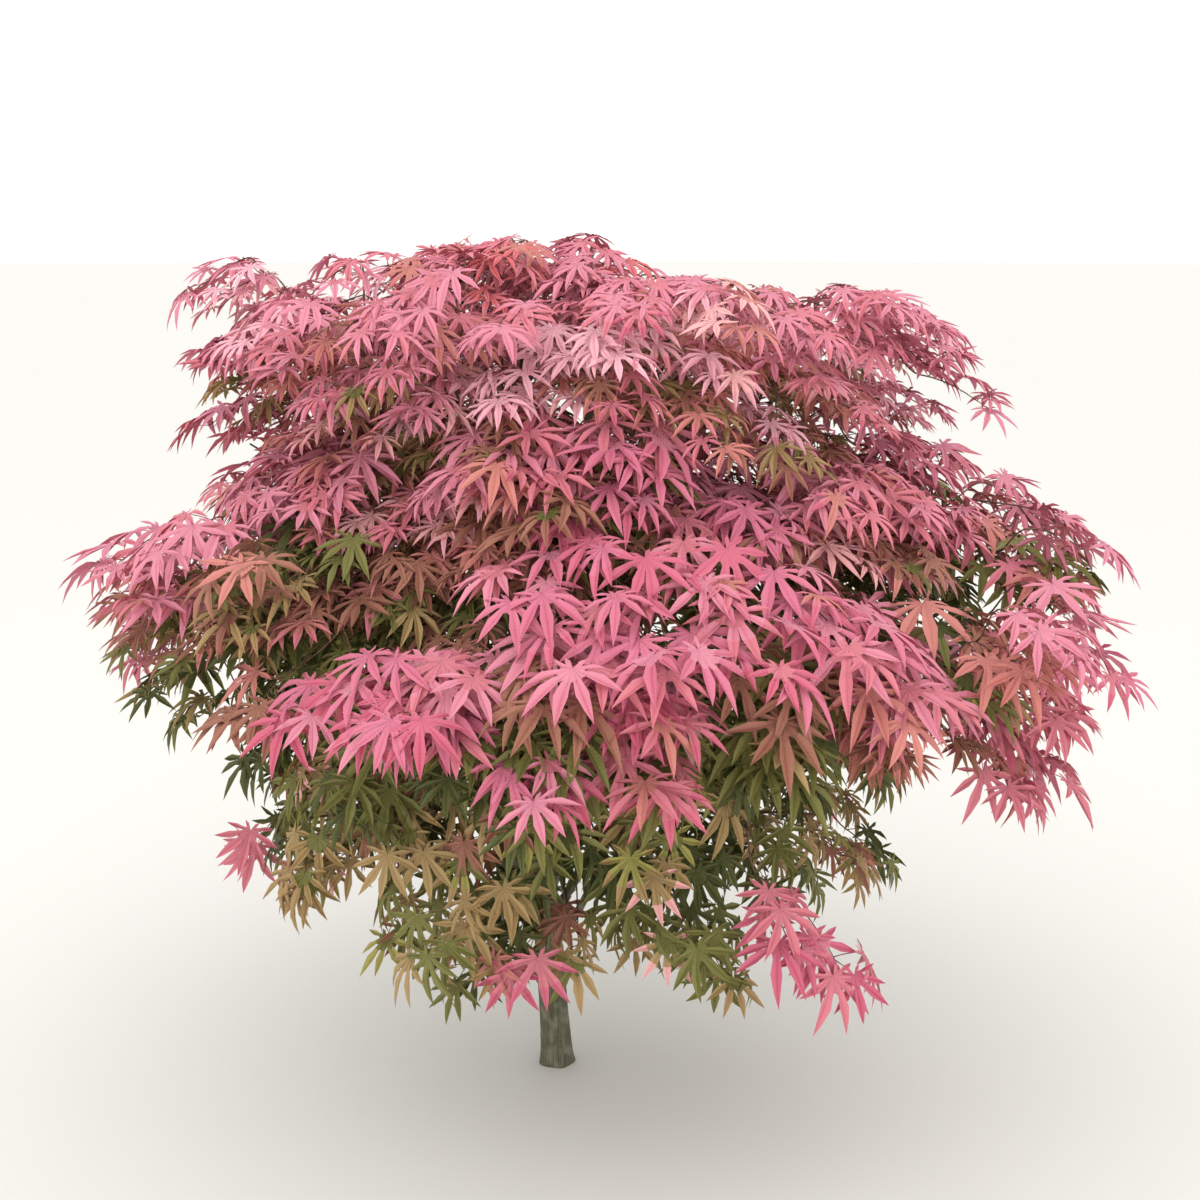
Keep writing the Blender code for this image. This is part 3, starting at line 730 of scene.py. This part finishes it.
# %% Twigs that bear the sprays
TWIG_POINTS = 8
SPRAY_POINTS = 6
INNER = 0.11
NEARER = 0.012
BACKWARD_COST = 0.5
PARENT_PULL = 0.7
TARGET_PULL = 1.6
BEND_SHARE = 0.28
LONGEST_BEND = 0.020


def spray_twig(base, heading, length):
    """Points that run straight on from the base and sag by the square of the way."""
    share = np.linspace(0, 1, SPRAY_POINTS)[:, None]
    return base + heading * length * share - np.array([0, 0, SPRAY_SAG * length]) * share**2


def wood_points(paths, skipped):
    """The points of some paths past the first few, and the way that the path runs at each."""
    ways = unit(np.gradient(paths, axis=1))
    return paths[:, skipped:].reshape(-1, 3), ways[:, skipped:].reshape(-1, 3)


grown = wood_points(paths, PATH_POINTS // 3), wood_points(stems, 2)
wood, ways = (np.concatenate(rows) for rows in zip(*grown))
twigs = []
for spray in sprays:
    base, heading = spray["base"], spray["heading"]
    behind = np.linalg.norm(wood[:, :2], axis=1) > max(np.linalg.norm(base[:2]) - NEARER, INNER)
    near = int(np.argmin(np.linalg.norm(wood - base, axis=1) + BACKWARD_COST * behind))
    span = np.linalg.norm(base - wood[near])
    leave = unit(PARENT_PULL * ways[near] + TARGET_PULL * (base - wood[near]) / span)
    bend = min(span * BEND_SHARE, LONGEST_BEND)
    twig = cubic(wood[near], wood[near] + leave * bend, base - heading * bend, base, TWIG_POINTS)
    twigs.append(np.concatenate([twig[:-1], spray_twig(base, heading, spray["length"])]))
    wood = np.concatenate([wood, twig[3:]])
    ways = np.concatenate([ways, unit(np.gradient(twig, axis=0))[3:]])
twigs = np.stack(twigs)
print("twigs:", len(twigs), "points each:", twigs.shape[1])

# %% Twig meshes
TWIG_ENDS = (0.00125, 0.00055)
STEM_SIDES = 7
TWIG_SIDES = 4
twig_radii = np.repeat(np.linspace(*TWIG_ENDS, twigs.shape[1])[None], len(twigs), 0)
stem_points, stem_quads, stem_tris = tube_arrays(stems, stem_radii, STEM_SIDES)
twig_points, twig_quads, twig_tris = tube_arrays(twigs, twig_radii, TWIG_SIDES)
shift = len(stem_points)
twig_piece = mesh_object("twigs", np.concatenate([stem_points, twig_points]),
                         np.concatenate([stem_quads, twig_quads + shift]),
                         np.concatenate([stem_tris, twig_tris + shift]))
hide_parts(*["foliage_" + mass["name"] for mass in masses])
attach(twig_piece, "root")
print("twig faces:", len(twig_piece.data.polygons))

# %% [markdown]
# ## A leaf with seven lobes
# The leaf of this maple is a hand of seven long lobes and two tiny ones beside its stalk, each a
# narrow blade that is widest past its middle and ends in a drawn-out point. The template places
# each point by its lobe's angle, its distance from the heart of the leaf, and its side of the
# midrib. Each leaf then bends its own copy: angles, lengths, sweep, fold and droop all differ a
# little. Sixty faces are enough for the outline, which is what makes a leaf read as maple.

# %% Leaf template
LOBE_ANGLES = np.radians([-104, -68, -34, 0, 34, 68, 104])
LOBE_LENGTHS = np.array([0.52, 0.78, 0.94, 1.0, 0.94, 0.78, 0.52])
NOTCHES = np.array([0.12, 0.18, 0.22, 0.24, 0.24, 0.22, 0.18, 0.12])
BASAL_ANGLE = math.radians(142)
BASAL_LENGTH = 0.26
STATIONS = (0.10, 0.42, 0.74)
HALF_WIDTHS = (0.064, 0.098, 0.055)

LOBES = len(LOBE_ANGLES)
HEART = 0
NOTCH = 1
BLADE = NOTCH + LOBES + 1
PER_LOBE = 3 * len(STATIONS) + 1
BASAL = BLADE + LOBES * PER_LOBE
LEAF_POINTS = BASAL + 6

# A lobe's points come as left, middle and right for each station, then the tip.
SHARE = np.append(np.repeat(STATIONS, 3), 1.0)
SIDE = np.append(np.tile([-1, 0, 1], len(STATIONS)), 0)
WIDTH = np.append(np.repeat(HALF_WIDTHS, 3), 0.0)


def leaf_faces():
    """The faces of one leaf, each with the number of its lobe and its zone: the heart of the
    leaf, the blade of a lobe, or its point."""
    faces = []
    for i in range(LOBES):
        left, mid, right = (BLADE + i * PER_LOBE + k for k in range(3))
        faces += [((HEART, NOTCH + i + 1, right, mid), i, "heart"),
                  ((HEART, mid, left, NOTCH + i), i, "heart")]
        for zone in ("blade", "point"):
            faces += [((mid, right, right + 3, mid + 3), i, zone),
                      ((left, mid, mid + 3, left + 3), i, zone)]
            left, mid, right = left + 3, mid + 3, right + 3
        faces += [((mid, right, right + 1), i, "point"), ((left, mid, right + 1), i, "point")]
    first, last = 0, LOBES - 1
    return faces + [((HEART, NOTCH, BASAL + 2, BASAL + 1), first, "heart"),
                    ((HEART, BASAL + 4, BASAL + 3, NOTCH + LOBES), last, "heart"),
                    ((HEART, BASAL + 1, BASAL), first, "heart"),
                    ((HEART, BASAL + 5, BASAL + 4), last, "heart")]


def with_corners(count):
    """Corner numbers, lobes and zones of the leaf's faces that have so many corners."""
    chosen = [face for face in leaf_faces() if len(face[0]) == count]
    return [np.array(column) for column in zip(*chosen)]


leaf_quads, quad_lobe, quad_zone = with_corners(4)
leaf_tris, tri_lobe, tri_zone = with_corners(3)
midrib = np.zeros(LEAF_POINTS, bool)
midrib[[HEART, BASAL + 1, BASAL + 4]] = True
midrib[BLADE:BASAL] = np.tile(SIDE == 0, LOBES)
print("a leaf has", LEAF_POINTS, "points and", len(leaf_quads) + len(leaf_tris), "faces")


# %% Leaf shapes
def leaf_shapes(count, rng, droop):
    """The points of many leaves in their own plane: x to the right, y along the middle lobe and
    z up. For a lobe, a point is direction * distance + across * (side * half width + sweep *
    share squared). Edges rise by a share of their distance from the midrib, and every point
    falls by droop times the square of its distance from the heart."""
    angles = LOBE_ANGLES + np.radians(rng.normal(0, 4.0, (count, LOBES)))
    lengths = LOBE_LENGTHS * rng.uniform(0.88, 1.06, (count, LOBES))
    sweep = rng.normal(0, 0.05, (count, LOBES)) + 0.035 * np.sign(LOBE_ANGLES)
    fold = rng.uniform(0.35, 0.95, (count, 1, 1))
    pitch = rng.normal(0, 0.10, (count, LOBES))
    points = np.zeros((count, LEAF_POINTS, 3))

    notch_angles = np.concatenate([
        (angles[:, :1] - BASAL_ANGLE) / 2, (angles[:, 1:] + angles[:, :-1]) / 2,
        (angles[:, -1:] + BASAL_ANGLE) / 2], 1)
    notch = NOTCHES * rng.uniform(0.9, 1.1, (count, LOBES + 1))
    points[:, NOTCH:BLADE, 0] = np.sin(notch_angles) * notch
    points[:, NOTCH:BLADE, 1] = np.cos(notch_angles) * notch

    cut = (NOTCHES[1:] + NOTCHES[:-1]) / 2
    far = cut[:, None] + (lengths[:, :, None] - cut[:, None]) * SHARE
    half = lengths[:, :, None] * WIDTH
    aside = SIDE * half + sweep[:, :, None] * lengths[:, :, None] * SHARE**2
    sin, cos = np.sin(angles)[:, :, None], np.cos(angles)[:, :, None]
    rise = fold * np.abs(SIDE) * half + pitch[:, :, None] * far * SHARE
    lobes = np.stack([sin * far + cos * aside, cos * far - sin * aside, rise], -1)
    points[:, BLADE:BASAL] = lobes.reshape(count, LOBES * PER_LOBE, 3)

    for place, turn in ((BASAL, -BASAL_ANGLE), (BASAL + 3, BASAL_ANGLE)):
        wide = np.array([turn - 0.22, turn, turn + 0.22])
        far_out = np.array([0.62, 1.0, 0.62]) * BASAL_LENGTH
        points[:, place : place + 3, 0] = np.sin(wide) * far_out
        points[:, place : place + 3, 1] = np.cos(wide) * far_out

    reach = np.hypot(points[..., 0], points[..., 1])
    points[..., 2] -= droop[:, None] * reach**2
    return points


def leaf_uv_points():
    """For each point of a leaf, its offset from the midrib and its distance from the heart."""
    flat = leaf_shapes(1, np.random.default_rng(0), np.zeros(1))[0]
    offset = np.zeros(LEAF_POINTS)
    offset[BLADE:BASAL] = np.tile(SIDE * WIDTH, LOBES)
    offset[NOTCH:BLADE] = 0.08
    offset[[BASAL, BASAL + 2, BASAL + 3, BASAL + 5]] = 0.05
    return np.stack([offset, np.hypot(flat[:, 0], flat[:, 1])], -1)


leaf_uv = leaf_uv_points()
print("widest lobe:", round(float(leaf_uv[:, 0].max()) * 2, 3), "of the leaf's length")

# %% [markdown]
# ## Sprays of leaves
# Leaves stand in pairs on a spray, one on each side of the twig, with another pair and a last
# leaf at its end. Each hangs on a thin stalk two or three centimetres long that leaves the twig
# sideways and bends down with the weight. On the flat upper tiers the blades lie nearly level;
# further down they hang more and more, until at the skirt they show their faces to the side.

# %% Places and directions of the leaves
PAIR_PLACES = np.array([4.8, 4.8, 7.4, 7.4, 9.8, 9.8, 12.0, 12.0, 12.0])
PAIR_SIDES = np.array([-1, 1, -1, 1, -1, 1, -1, 1, 0])
LEAF_LENGTHS = {"upper": 0.043, "top": 0.040, "middle": 0.050, "apron": 0.057, "skirt": 0.056}
FRONT_GAINS = {"upper": 0.08, "top": 0.05, "middle": 0.22, "apron": 0.26, "skirt": 0.06}
LARGEST_AZIMUTH = 282
STALK_SHARE = (0.38, 0.58)
STALK_ANGLE = 54
STALK_RISE = 0.32
STALK_SAG = 0.16
LEAF_SPREAD = 36
PLACE_NOISE = 0.4
ANGLE_NOISE = 11
END_NOISE = 14
ROLL_NOISE = 24
SIZES = (0.78, 1.14)
LAST_SHARE = 0.92
SHADE_SHRINK = 0.18
FALL_NOISE = (3, 8)
FALL_LIMITS = (-12, 84)
TURN_NOISE = 12
FACE_NOISE = 0.14

spray_count = len(sprays)
leaf_rng = np.random.default_rng(SEED)
shape = (spray_count, len(PAIR_SIDES))
spray_layers = [masses[spray["mass"]]["layer"] for spray in sprays]
up = np.array([0.0, 0.0, 1.0])


def per_spray(key):
    """One value or vector per spray, as an array."""
    return np.array([spray[key] for spray in sprays])


def per_layer(table):
    """For each spray, the value of its layer."""
    return np.array([table[layer] for layer in spray_layers])


heading = per_spray("heading")
place = PAIR_PLACES + leaf_rng.uniform(-PLACE_NOISE, PLACE_NOISE, shape)
place = np.clip(place, 0, twigs.shape[1] - 1.001)
whole, part = place.astype(int), (place % 1)[..., None]
rows = np.arange(spray_count)[:, None]
nodes = twigs[rows, whole] * (1 - part) + twigs[rows, whole + 1] * part
across_way = unit(np.cross(heading, up))[:, None]
top_way = np.cross(across_way, heading[:, None])
angle = np.radians(STALK_ANGLE + leaf_rng.uniform(-ANGLE_NOISE, ANGLE_NOISE, shape))
end_angle = np.radians(leaf_rng.uniform(-END_NOISE, END_NOISE, shape))
angle = np.where(PAIR_SIDES == 0, end_angle, angle)[..., None]
roll = np.radians(leaf_rng.normal(0, ROLL_NOISE, shape))[..., None]
sides = PAIR_SIDES[None, :, None]
stalk_way = heading[:, None] * np.cos(angle) + np.sin(angle) * (
    across_way * np.where(sides == 0, 1, sides) * np.cos(roll) + top_way * np.sin(roll))
stalk_way = unit(stalk_way + up * STALK_RISE)

size = (per_layer(LEAF_LENGTHS) * per_spray("scale"))[:, None]
size = size * leaf_rng.uniform(*SIZES, shape) * np.where(PAIR_PLACES > 11, LAST_SHARE, 1.0)
towards_front = np.clip(np.cos(np.radians(per_spray("azimuth") - LARGEST_AZIMUTH)), 0, 1) ** 2
front_gain = per_layer(FRONT_GAINS) * towards_front
size = size * ((1 - SHADE_SHRINK * per_spray("depth")) * (1 + front_gain))[:, None]
stalk_length = (size * leaf_rng.uniform(*STALK_SHARE, shape))[..., None]
stalk_end = nodes + stalk_way * stalk_length - up * STALK_SAG * stalk_length

fall = per_spray("fall")[:, None] + leaf_rng.normal(*FALL_NOISE, shape)
azimuth = per_spray("azimuth")[:, None] + PAIR_SIDES * -LEAF_SPREAD
azimuth = azimuth + leaf_rng.normal(0, TURN_NOISE, shape)
tip_way = outward(azimuth, -np.clip(fall, *FALL_LIMITS))
facing = up + leaf_rng.normal(0, FACE_NOISE, (*shape, 3))
facing = unit(facing - (facing * tip_way).sum(-1, keepdims=True) * tip_way)
print("leaves before any is left out:", spray_count * len(PAIR_SIDES))

# %% Leaf points in the tree's frame
MARGIN = 0.008
LOWEST = 0.004
KEPT_SHARE = 0.93


def flat(values):
    """One row per leaf instead of one per spray and place."""
    return values.reshape(spray_count * len(PAIR_SIDES), *values.shape[2:])


frames = np.stack([flat(np.cross(tip_way, facing)), flat(tip_way), flat(facing)], 1)
droop = leaf_rng.uniform(0.10, 0.42, len(frames))
shapes = leaf_shapes(len(frames), leaf_rng, droop) * flat(size)[:, None, None]
leaf_points = np.einsum("npk,nkd->npd", shapes, frames) + flat(stalk_end)[:, None]
low_corner, high_corner = np.array(cad_box[0]) - MARGIN, np.array(cad_box[1]) + MARGIN
low_corner[2] = LOWEST
inside = ((leaf_points > low_corner) & (leaf_points < high_corner)).all((1, 2))
borne = np.arange(len(PAIR_SIDES)) >= len(PAIR_SIDES) - per_spray("leaves")[:, None]
kept = inside & flat(borne) & (leaf_rng.random(len(inside)) < KEPT_SHARE)
print("leaves outside the solids' box:", int((~inside).sum()), "kept:", int(kept.sum()))

# %% [markdown]
# ## Colours of the leaves
# New leaves at the ends of the tiers are pink; those that are older or lie in shade turn bronze,
# tan and olive. So each spray is given a tint by how far out and how high it lies in its tier,
# and each leaf strays a little from its spray. Part of that tint is painted light: the darkest
# tints inside the tiers are also painted shade; in the upper tiers pale tints in the shade are a
# painted glow of light shining through the leaves, and darker pinks at the lit rims painted shade;
# and at the front a darker pink is painted shade where the lamps light most. Many leaves also keep
# an older tint round the heart, or along one or two lobes. Every tint is one plain colour with a
# place, so each becomes one joined mesh with a material of its own.

# %% Tints
# Each tint's colour, then the tints that its leaves, their hearts and their points may have.
TINTS = {
    "moss": ("#5A5F32", "moss olive", "moss", "moss olive"),
    "olive": ("#7A7840", "olive moss tan", "olive moss", "olive lime"),
    "lime": ("#A39C55", "lime olive tan", "olive", "lime tan"),
    "tan": ("#AA8E60", "tan lime bronze", "olive bronze", "tan blush"),
    "bronze": ("#A06B58", "bronze bronze salmon olive", "bronze olive", "salmon bronze"),
    "salmon": ("#C97F76", "salmon bronze rose", "salmon bronze", "rose salmon"),
    "coral": ("#D26B70", "coral rose salmon", "coral salmon", "rose coral"),
    "rose": ("#D27A87", "rose rose salmon petal", "rose salmon", "carmine rose"),
    "dusty": ("#DB9CA6", "dusty petal shell", "dusty rose", "rose petal"),
    "carmine": ("#CC677E", "carmine rose", "rose carmine", "carmine"),
    "petal": ("#D78699", "petal petal rose", "rose petal", "rose petal"),
    "shell": ("#E9ADB9", "shell petal dusty", "petal shell", "petal shell"),
    "blush": ("#E9ABAA", "blush salmon shell", "salmon blush", "dusty blush"),
    # Mallow is a darker copy of petal, painted shade for the front, where the lamps light most.
    "mallow": ("#CF738B", "mallow petal rose carmine", "petal mallow", "carmine mallow"),
}
NAMES = list(TINTS)
# From the shade inside a tier to the light at its rim. Olive, bronze and moss inside are older
# leaves, darkened as painted shade; in the upper and top tiers pale blush and shell in the shade
# are a painted glow of light shining through the leaves, and darker petal at the lit rims is
# painted shade.
TINT_RAMPS = {
    "upper": "tan bronze blush salmon tan shell salmon blush petal shell petal",
    "top": "blush tan rose blush petal coral dusty petal",
    "middle": "olive bronze tan bronze salmon bronze blush petal rose petal",
    "apron": "moss olive bronze olive bronze olive bronze salmon rose petal",
    "skirt": "olive moss tan olive moss tan olive lime olive",
}
# A place in the crown and a radius, in which the sprays follow a ramp of their own. At the front
# the pinks run to mallow, painted shade where the lamps light most, and in the hollow at the front
# left to olive and bronze, older leaves darkened as painted shade.
SPOTS = (
    (0.22, -0.29, 0.352, 0.058, "rose rose carmine"),
    (-0.022, -0.235, 0.306, 0.02, "rose rose"),
    (-0.265, -0.12, 0.385, 0.02, "rose rose"),
    (-0.20, -0.19, 0.43, 0.09, "olive tan tan olive"),
    (-0.215, -0.19, 0.385, 0.03, "tan tan"),
    (-0.24, -0.30, 0.47, 0.09, "lime tan lime"),
    (-0.18, -0.26, 0.62, 0.11, "olive bronze olive bronze olive tan bronze"),
    (0.12, -0.35, 0.66, 0.18, "moss olive olive bronze olive bronze olive bronze carmine mallow"),
    (-0.13, -0.37, 0.57, 0.075, "rose carmine mallow"),
    (-0.21, -0.31, 0.565, 0.035, "rose petal mallow"),
    (0.44, -0.14, 0.50, 0.10, "rose dusty rose"),
    (0.53, -0.06, 0.50, 0.08, "rose petal rose"),
    (0.509, -0.207, 0.558, 0.03, "rose mallow"),
    (0.088, -0.373, 0.524, 0.025, "mallow rose bronze"),
    (-0.019, -0.415, 0.511, 0.020, "mallow petal mallow"),
    (-0.08, -0.12, 0.95, 0.09, "rose coral rose"),
)
OUT_WEIGHT = 0.40
HIGH_WEIGHT = 0.60
EXPOSURE_NOISE = 0.11
DARKEST, BRIGHTEST = 0.25, 0.90
tint_rng = np.random.default_rng([SEED, 7])
# Each spray's tint by exposure: its leaves' age, with painted shade inside and painted glow in the upper
# tiers.
spray_tints = []
for spray, layer in zip(sprays, spray_layers):
    exposure = OUT_WEIGHT * spray["along"] + HIGH_WEIGHT * (1 - spray["depth"])
    exposure += tint_rng.normal(0, EXPOSURE_NOISE)
    ramp = TINT_RAMPS[layer]
    for *place, radius, spot_ramp in SPOTS:
        if np.linalg.norm(spray["base"] - place) < radius:
            ramp = spot_ramp
    ramp = ramp.split()
    share = np.clip((exposure - DARKEST) / (BRIGHTEST - DARKEST), 0, 0.999)
    spray_tints.append(ramp[int(share * len(ramp))])
print("sprays of each tint:", {name: spray_tints.count(name) for name in NAMES})

# %% One tint per face
# In the upper tiers a stray green leaf would stand out, so there it is browner.
MUTED = {"moss": "bronze", "olive": "bronze", "lime": "tan"}
MUTED_LAYERS = ("upper", "top", "middle")
OLD_HEARTS = 0.38
OLD_POINTS = 0.22
ODD_LOBES = 0.10


def stray(names):
    """One of a row of names: the first in half of the cases, any of them in the other half."""
    names = names.split()
    return names[0] if tint_rng.random() < 0.5 else names[tint_rng.integers(len(names))]


def numbers(names):
    """The places of tints in the list of all of them."""
    return np.array([NAMES.index(name) for name in names])


leaf_tints = []
for name, layer in zip(spray_tints, spray_layers):
    strays = [stray(TINTS[name][1]) for _ in PAIR_SIDES]
    if layer in MUTED_LAYERS and name != "olive":
        strays = [MUTED.get(tint, tint) for tint in strays]
    leaf_tints += strays
blade = numbers(leaf_tints)
heart = numbers(stray(TINTS[name][2]) for name in leaf_tints)
point = numbers(stray(TINTS[name][3]) for name in leaf_tints)
heart = np.where(tint_rng.random(len(blade)) < OLD_HEARTS, heart, blade)
point = np.where(tint_rng.random(len(blade)) < OLD_POINTS, point, blade)
odd_lobe = tint_rng.random((len(blade), LOBES)) < ODD_LOBES


def face_tints(zones, lobes):
    """For each leaf and face, the tint of its zone, or that of the heart all over an odd lobe."""
    zoned = np.select([zones == "heart", zones == "point"], [heart[:, None], point[:, None]],
                      blade[:, None])
    return np.where(odd_lobe[:, lobes], heart[:, None], zoned)


quad_tint, tri_tint = face_tints(quad_zone, quad_lobe), face_tints(tri_zone, tri_lobe)
print("leaves in more than one tint:", int((kept & ((heart != blade) | (point != blade))).sum()))

# %% [markdown]
# ## Leaf and stalk surfaces
# A maple leaf is thin, dry to the touch and faintly satin: light slides along its ribs, and the
# small veins show as a fine relief. The colour is one plain value on the shader itself. The
# relief and the gloss come from nodes that read the leaf's own map, in which one side of a lobe
# mirrors the other, so that the side veins run out and forward from every midrib.

# %% Leaf material
# The side veins are 0.06 of a leaf's length apart, three millimetres, and a midrib is as wide as
# 0.04 of it, coarser than on a real leaf so that it shows.
VEIN_WAVES = 105.0
VEIN_HEIGHT = 0.20
RIB_HALF = 0.020


def leaf_material(name, code):
    """Dry satin leaf skin. Side veins are ripples of (along - aside), the midrib is a groove
    whose height rises with the distance from it, and the gloss is patchy."""
    material, shader = new_material(name, {"Base Color": linear(code), "IOR": 1.42})
    surface = add_node(material, "ShaderNodeUVMap", {}, uv_map="surface")
    parts = add_node(material, "ShaderNodeSeparateXYZ", {"Vector": surface})
    aside = add_node(material, "ShaderNodeMath", {0: parts.outputs["X"]}, operation="ABSOLUTE")
    veins = add_node(material, "ShaderNodeMath", {0: parts.outputs["Y"], 1: aside}, operation="SUBTRACT")
    cycle = add_node(material, "ShaderNodeMath", {0: veins, 1: VEIN_WAVES}, operation="MULTIPLY")
    ripple = add_node(material, "ShaderNodeMath", {0: cycle}, operation="SINE")
    rib = add_node(material, "ShaderNodeMapRange", {"Value": aside, "From Max": RIB_HALF})
    relief = add_node(material, "ShaderNodeMath", {0: ripple, 1: VEIN_HEIGHT, 2: rib},
                      operation="MULTIPLY_ADD")
    bump = add_node(material, "ShaderNodeBump", {
        "Height": relief, "Strength": 0.7, "Distance": 0.0006})
    place = add_node(material, "ShaderNodeTexCoord", {})
    patches = add_node(material, "ShaderNodeTexNoise", {
        "Vector": place.outputs["Object"], "Scale": 60.0, "Detail": 2.0})
    gloss = add_node(material, "ShaderNodeMapRange", {
        "Value": patches, "To Min": 0.50, "To Max": 0.74})
    set_inputs(material, shader, {"Roughness": gloss, "Normal": bump})
    return material


# %% Leaf pieces
# The part's material slot for each tint, listed; the pieces below do not use this table.
SLOTS = dict.fromkeys("moss olive lime tan bronze".split(), "olive_foliage")
SLOTS |= dict.fromkeys("salmon coral rose".split(), "rose_foliage")
SLOTS |= dict.fromkeys("dusty carmine petal shell blush mallow".split(), "pink_foliage")


def compact(points, *face_groups):
    """Only the points that the faces use, and the faces with their corners renumbered."""
    used = np.unique(np.concatenate([faces.ravel() for faces in face_groups]))
    number = np.full(len(points), -1)
    number[used] = np.arange(len(used))
    return points[used], used, *[number[faces] for faces in face_groups]


leaf_mass = np.repeat(per_spray("mass"), len(PAIR_SIDES))
start = (np.arange(len(frames)) * LEAF_POINTS)[:, None, None]
all_quads, all_tris = start + leaf_quads, start + leaf_tris
total = 0
for number, name in enumerate(NAMES):
    quad_mask = (quad_tint == number) & kept[:, None]
    tri_mask = (tri_tint == number) & kept[:, None]
    points, used, quads, tris = compact(leaf_points.reshape(-1, 3), all_quads[quad_mask],
                                        all_tris[tri_mask])
    template = used % LEAF_POINTS
    corners = np.concatenate([quads.ravel(), tris.ravel()])
    piece = mesh_object("leaves_" + name, points, quads, tris, uv=leaf_uv[template[corners]],
                        sharp=midrib[template])
    piece.data.materials.append(leaf_material(name + " maple leaf", TINTS[name][0]))
    nodes_there = np.unique(leaf_mass[quad_mask.any(1)])
    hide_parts(*["foliage_" + masses[i]["name"] for i in nodes_there])
    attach(piece, "root")
    total += 2 * len(quads) + len(tris)
    print(name, "triangles:", 2 * len(quads) + len(tris))
print("leaves:", int(kept.sum()), "triangles:", total)

# %% Stalk pieces
STALK_SIDES = 3
STALK_POINTS = 5
STALK_RADIUS = (0.00070, 0.00045)
STALK_OVERLAP = 0.001
PINK_STALKS = "rose petal shell dusty coral salmon blush mallow".split()

t = np.linspace(0, 1, STALK_POINTS)[:, None]
stalk_paths = (flat(nodes)[:, None] + flat(stalk_way * stalk_length)[:, None] * t
               - up * STALK_SAG * flat(stalk_length)[:, None] * t**2)
stalk_paths[:, -1] = stalk_paths[:, -1] + frames[:, 1] * STALK_OVERLAP
pink_stalk = np.isin(leaf_tints, PINK_STALKS)
stalk_radii = np.repeat(np.linspace(*STALK_RADIUS, STALK_POINTS)[None], len(stalk_paths), 0)


def thin_wood(name, dark, light, scale):
    """Smooth thin bark or stalk skin: two tones in patches a few millimetres long, satin."""
    material, shader = new_material(name, {"IOR": 1.45})
    place = add_node(material, "ShaderNodeTexCoord", {})
    patches = add_node(material, "ShaderNodeTexNoise", {
        "Vector": place.outputs["Object"], "Scale": scale, "Detail": 3.0})
    ramp = add_node(material, "ShaderNodeValToRGB", {"Fac": patches})
    set_ramp(ramp, [(0.35, dark), (0.68, light)])
    gloss = add_node(material, "ShaderNodeMapRange", {
        "Value": patches, "To Min": 0.40, "To Max": 0.70})
    bump = add_node(material, "ShaderNodeBump", {
        "Height": patches, "Strength": 0.3, "Distance": 0.0005})
    set_inputs(material, shader, {"Base Color": ramp, "Roughness": gloss, "Normal": bump})
    return material


for name, chosen, dark, light in (("stalks_pink", pink_stalk, "#8E3F46", "#C4676F"),
                                  ("stalks_olive", ~pink_stalk, "#6A5A34", "#95804F")):
    points, quads, tris = tube_arrays(stalk_paths[chosen & kept], stalk_radii[chosen & kept], STALK_SIDES)
    piece = mesh_object(name, points, quads, tris)
    piece.data.materials.append(thin_wood(name.replace("_", " "), dark, light, 260.0))
    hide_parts(*["foliage_" + masses[i]["name"] for i in np.unique(leaf_mass[chosen & kept])])
    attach(piece, "root")
    print(name, "triangles:", 2 * len(quads) + len(tris))
twig_piece.data.materials.append(thin_wood("young red-brown twig bark", "#4A362B", "#7C5846", 300.0))
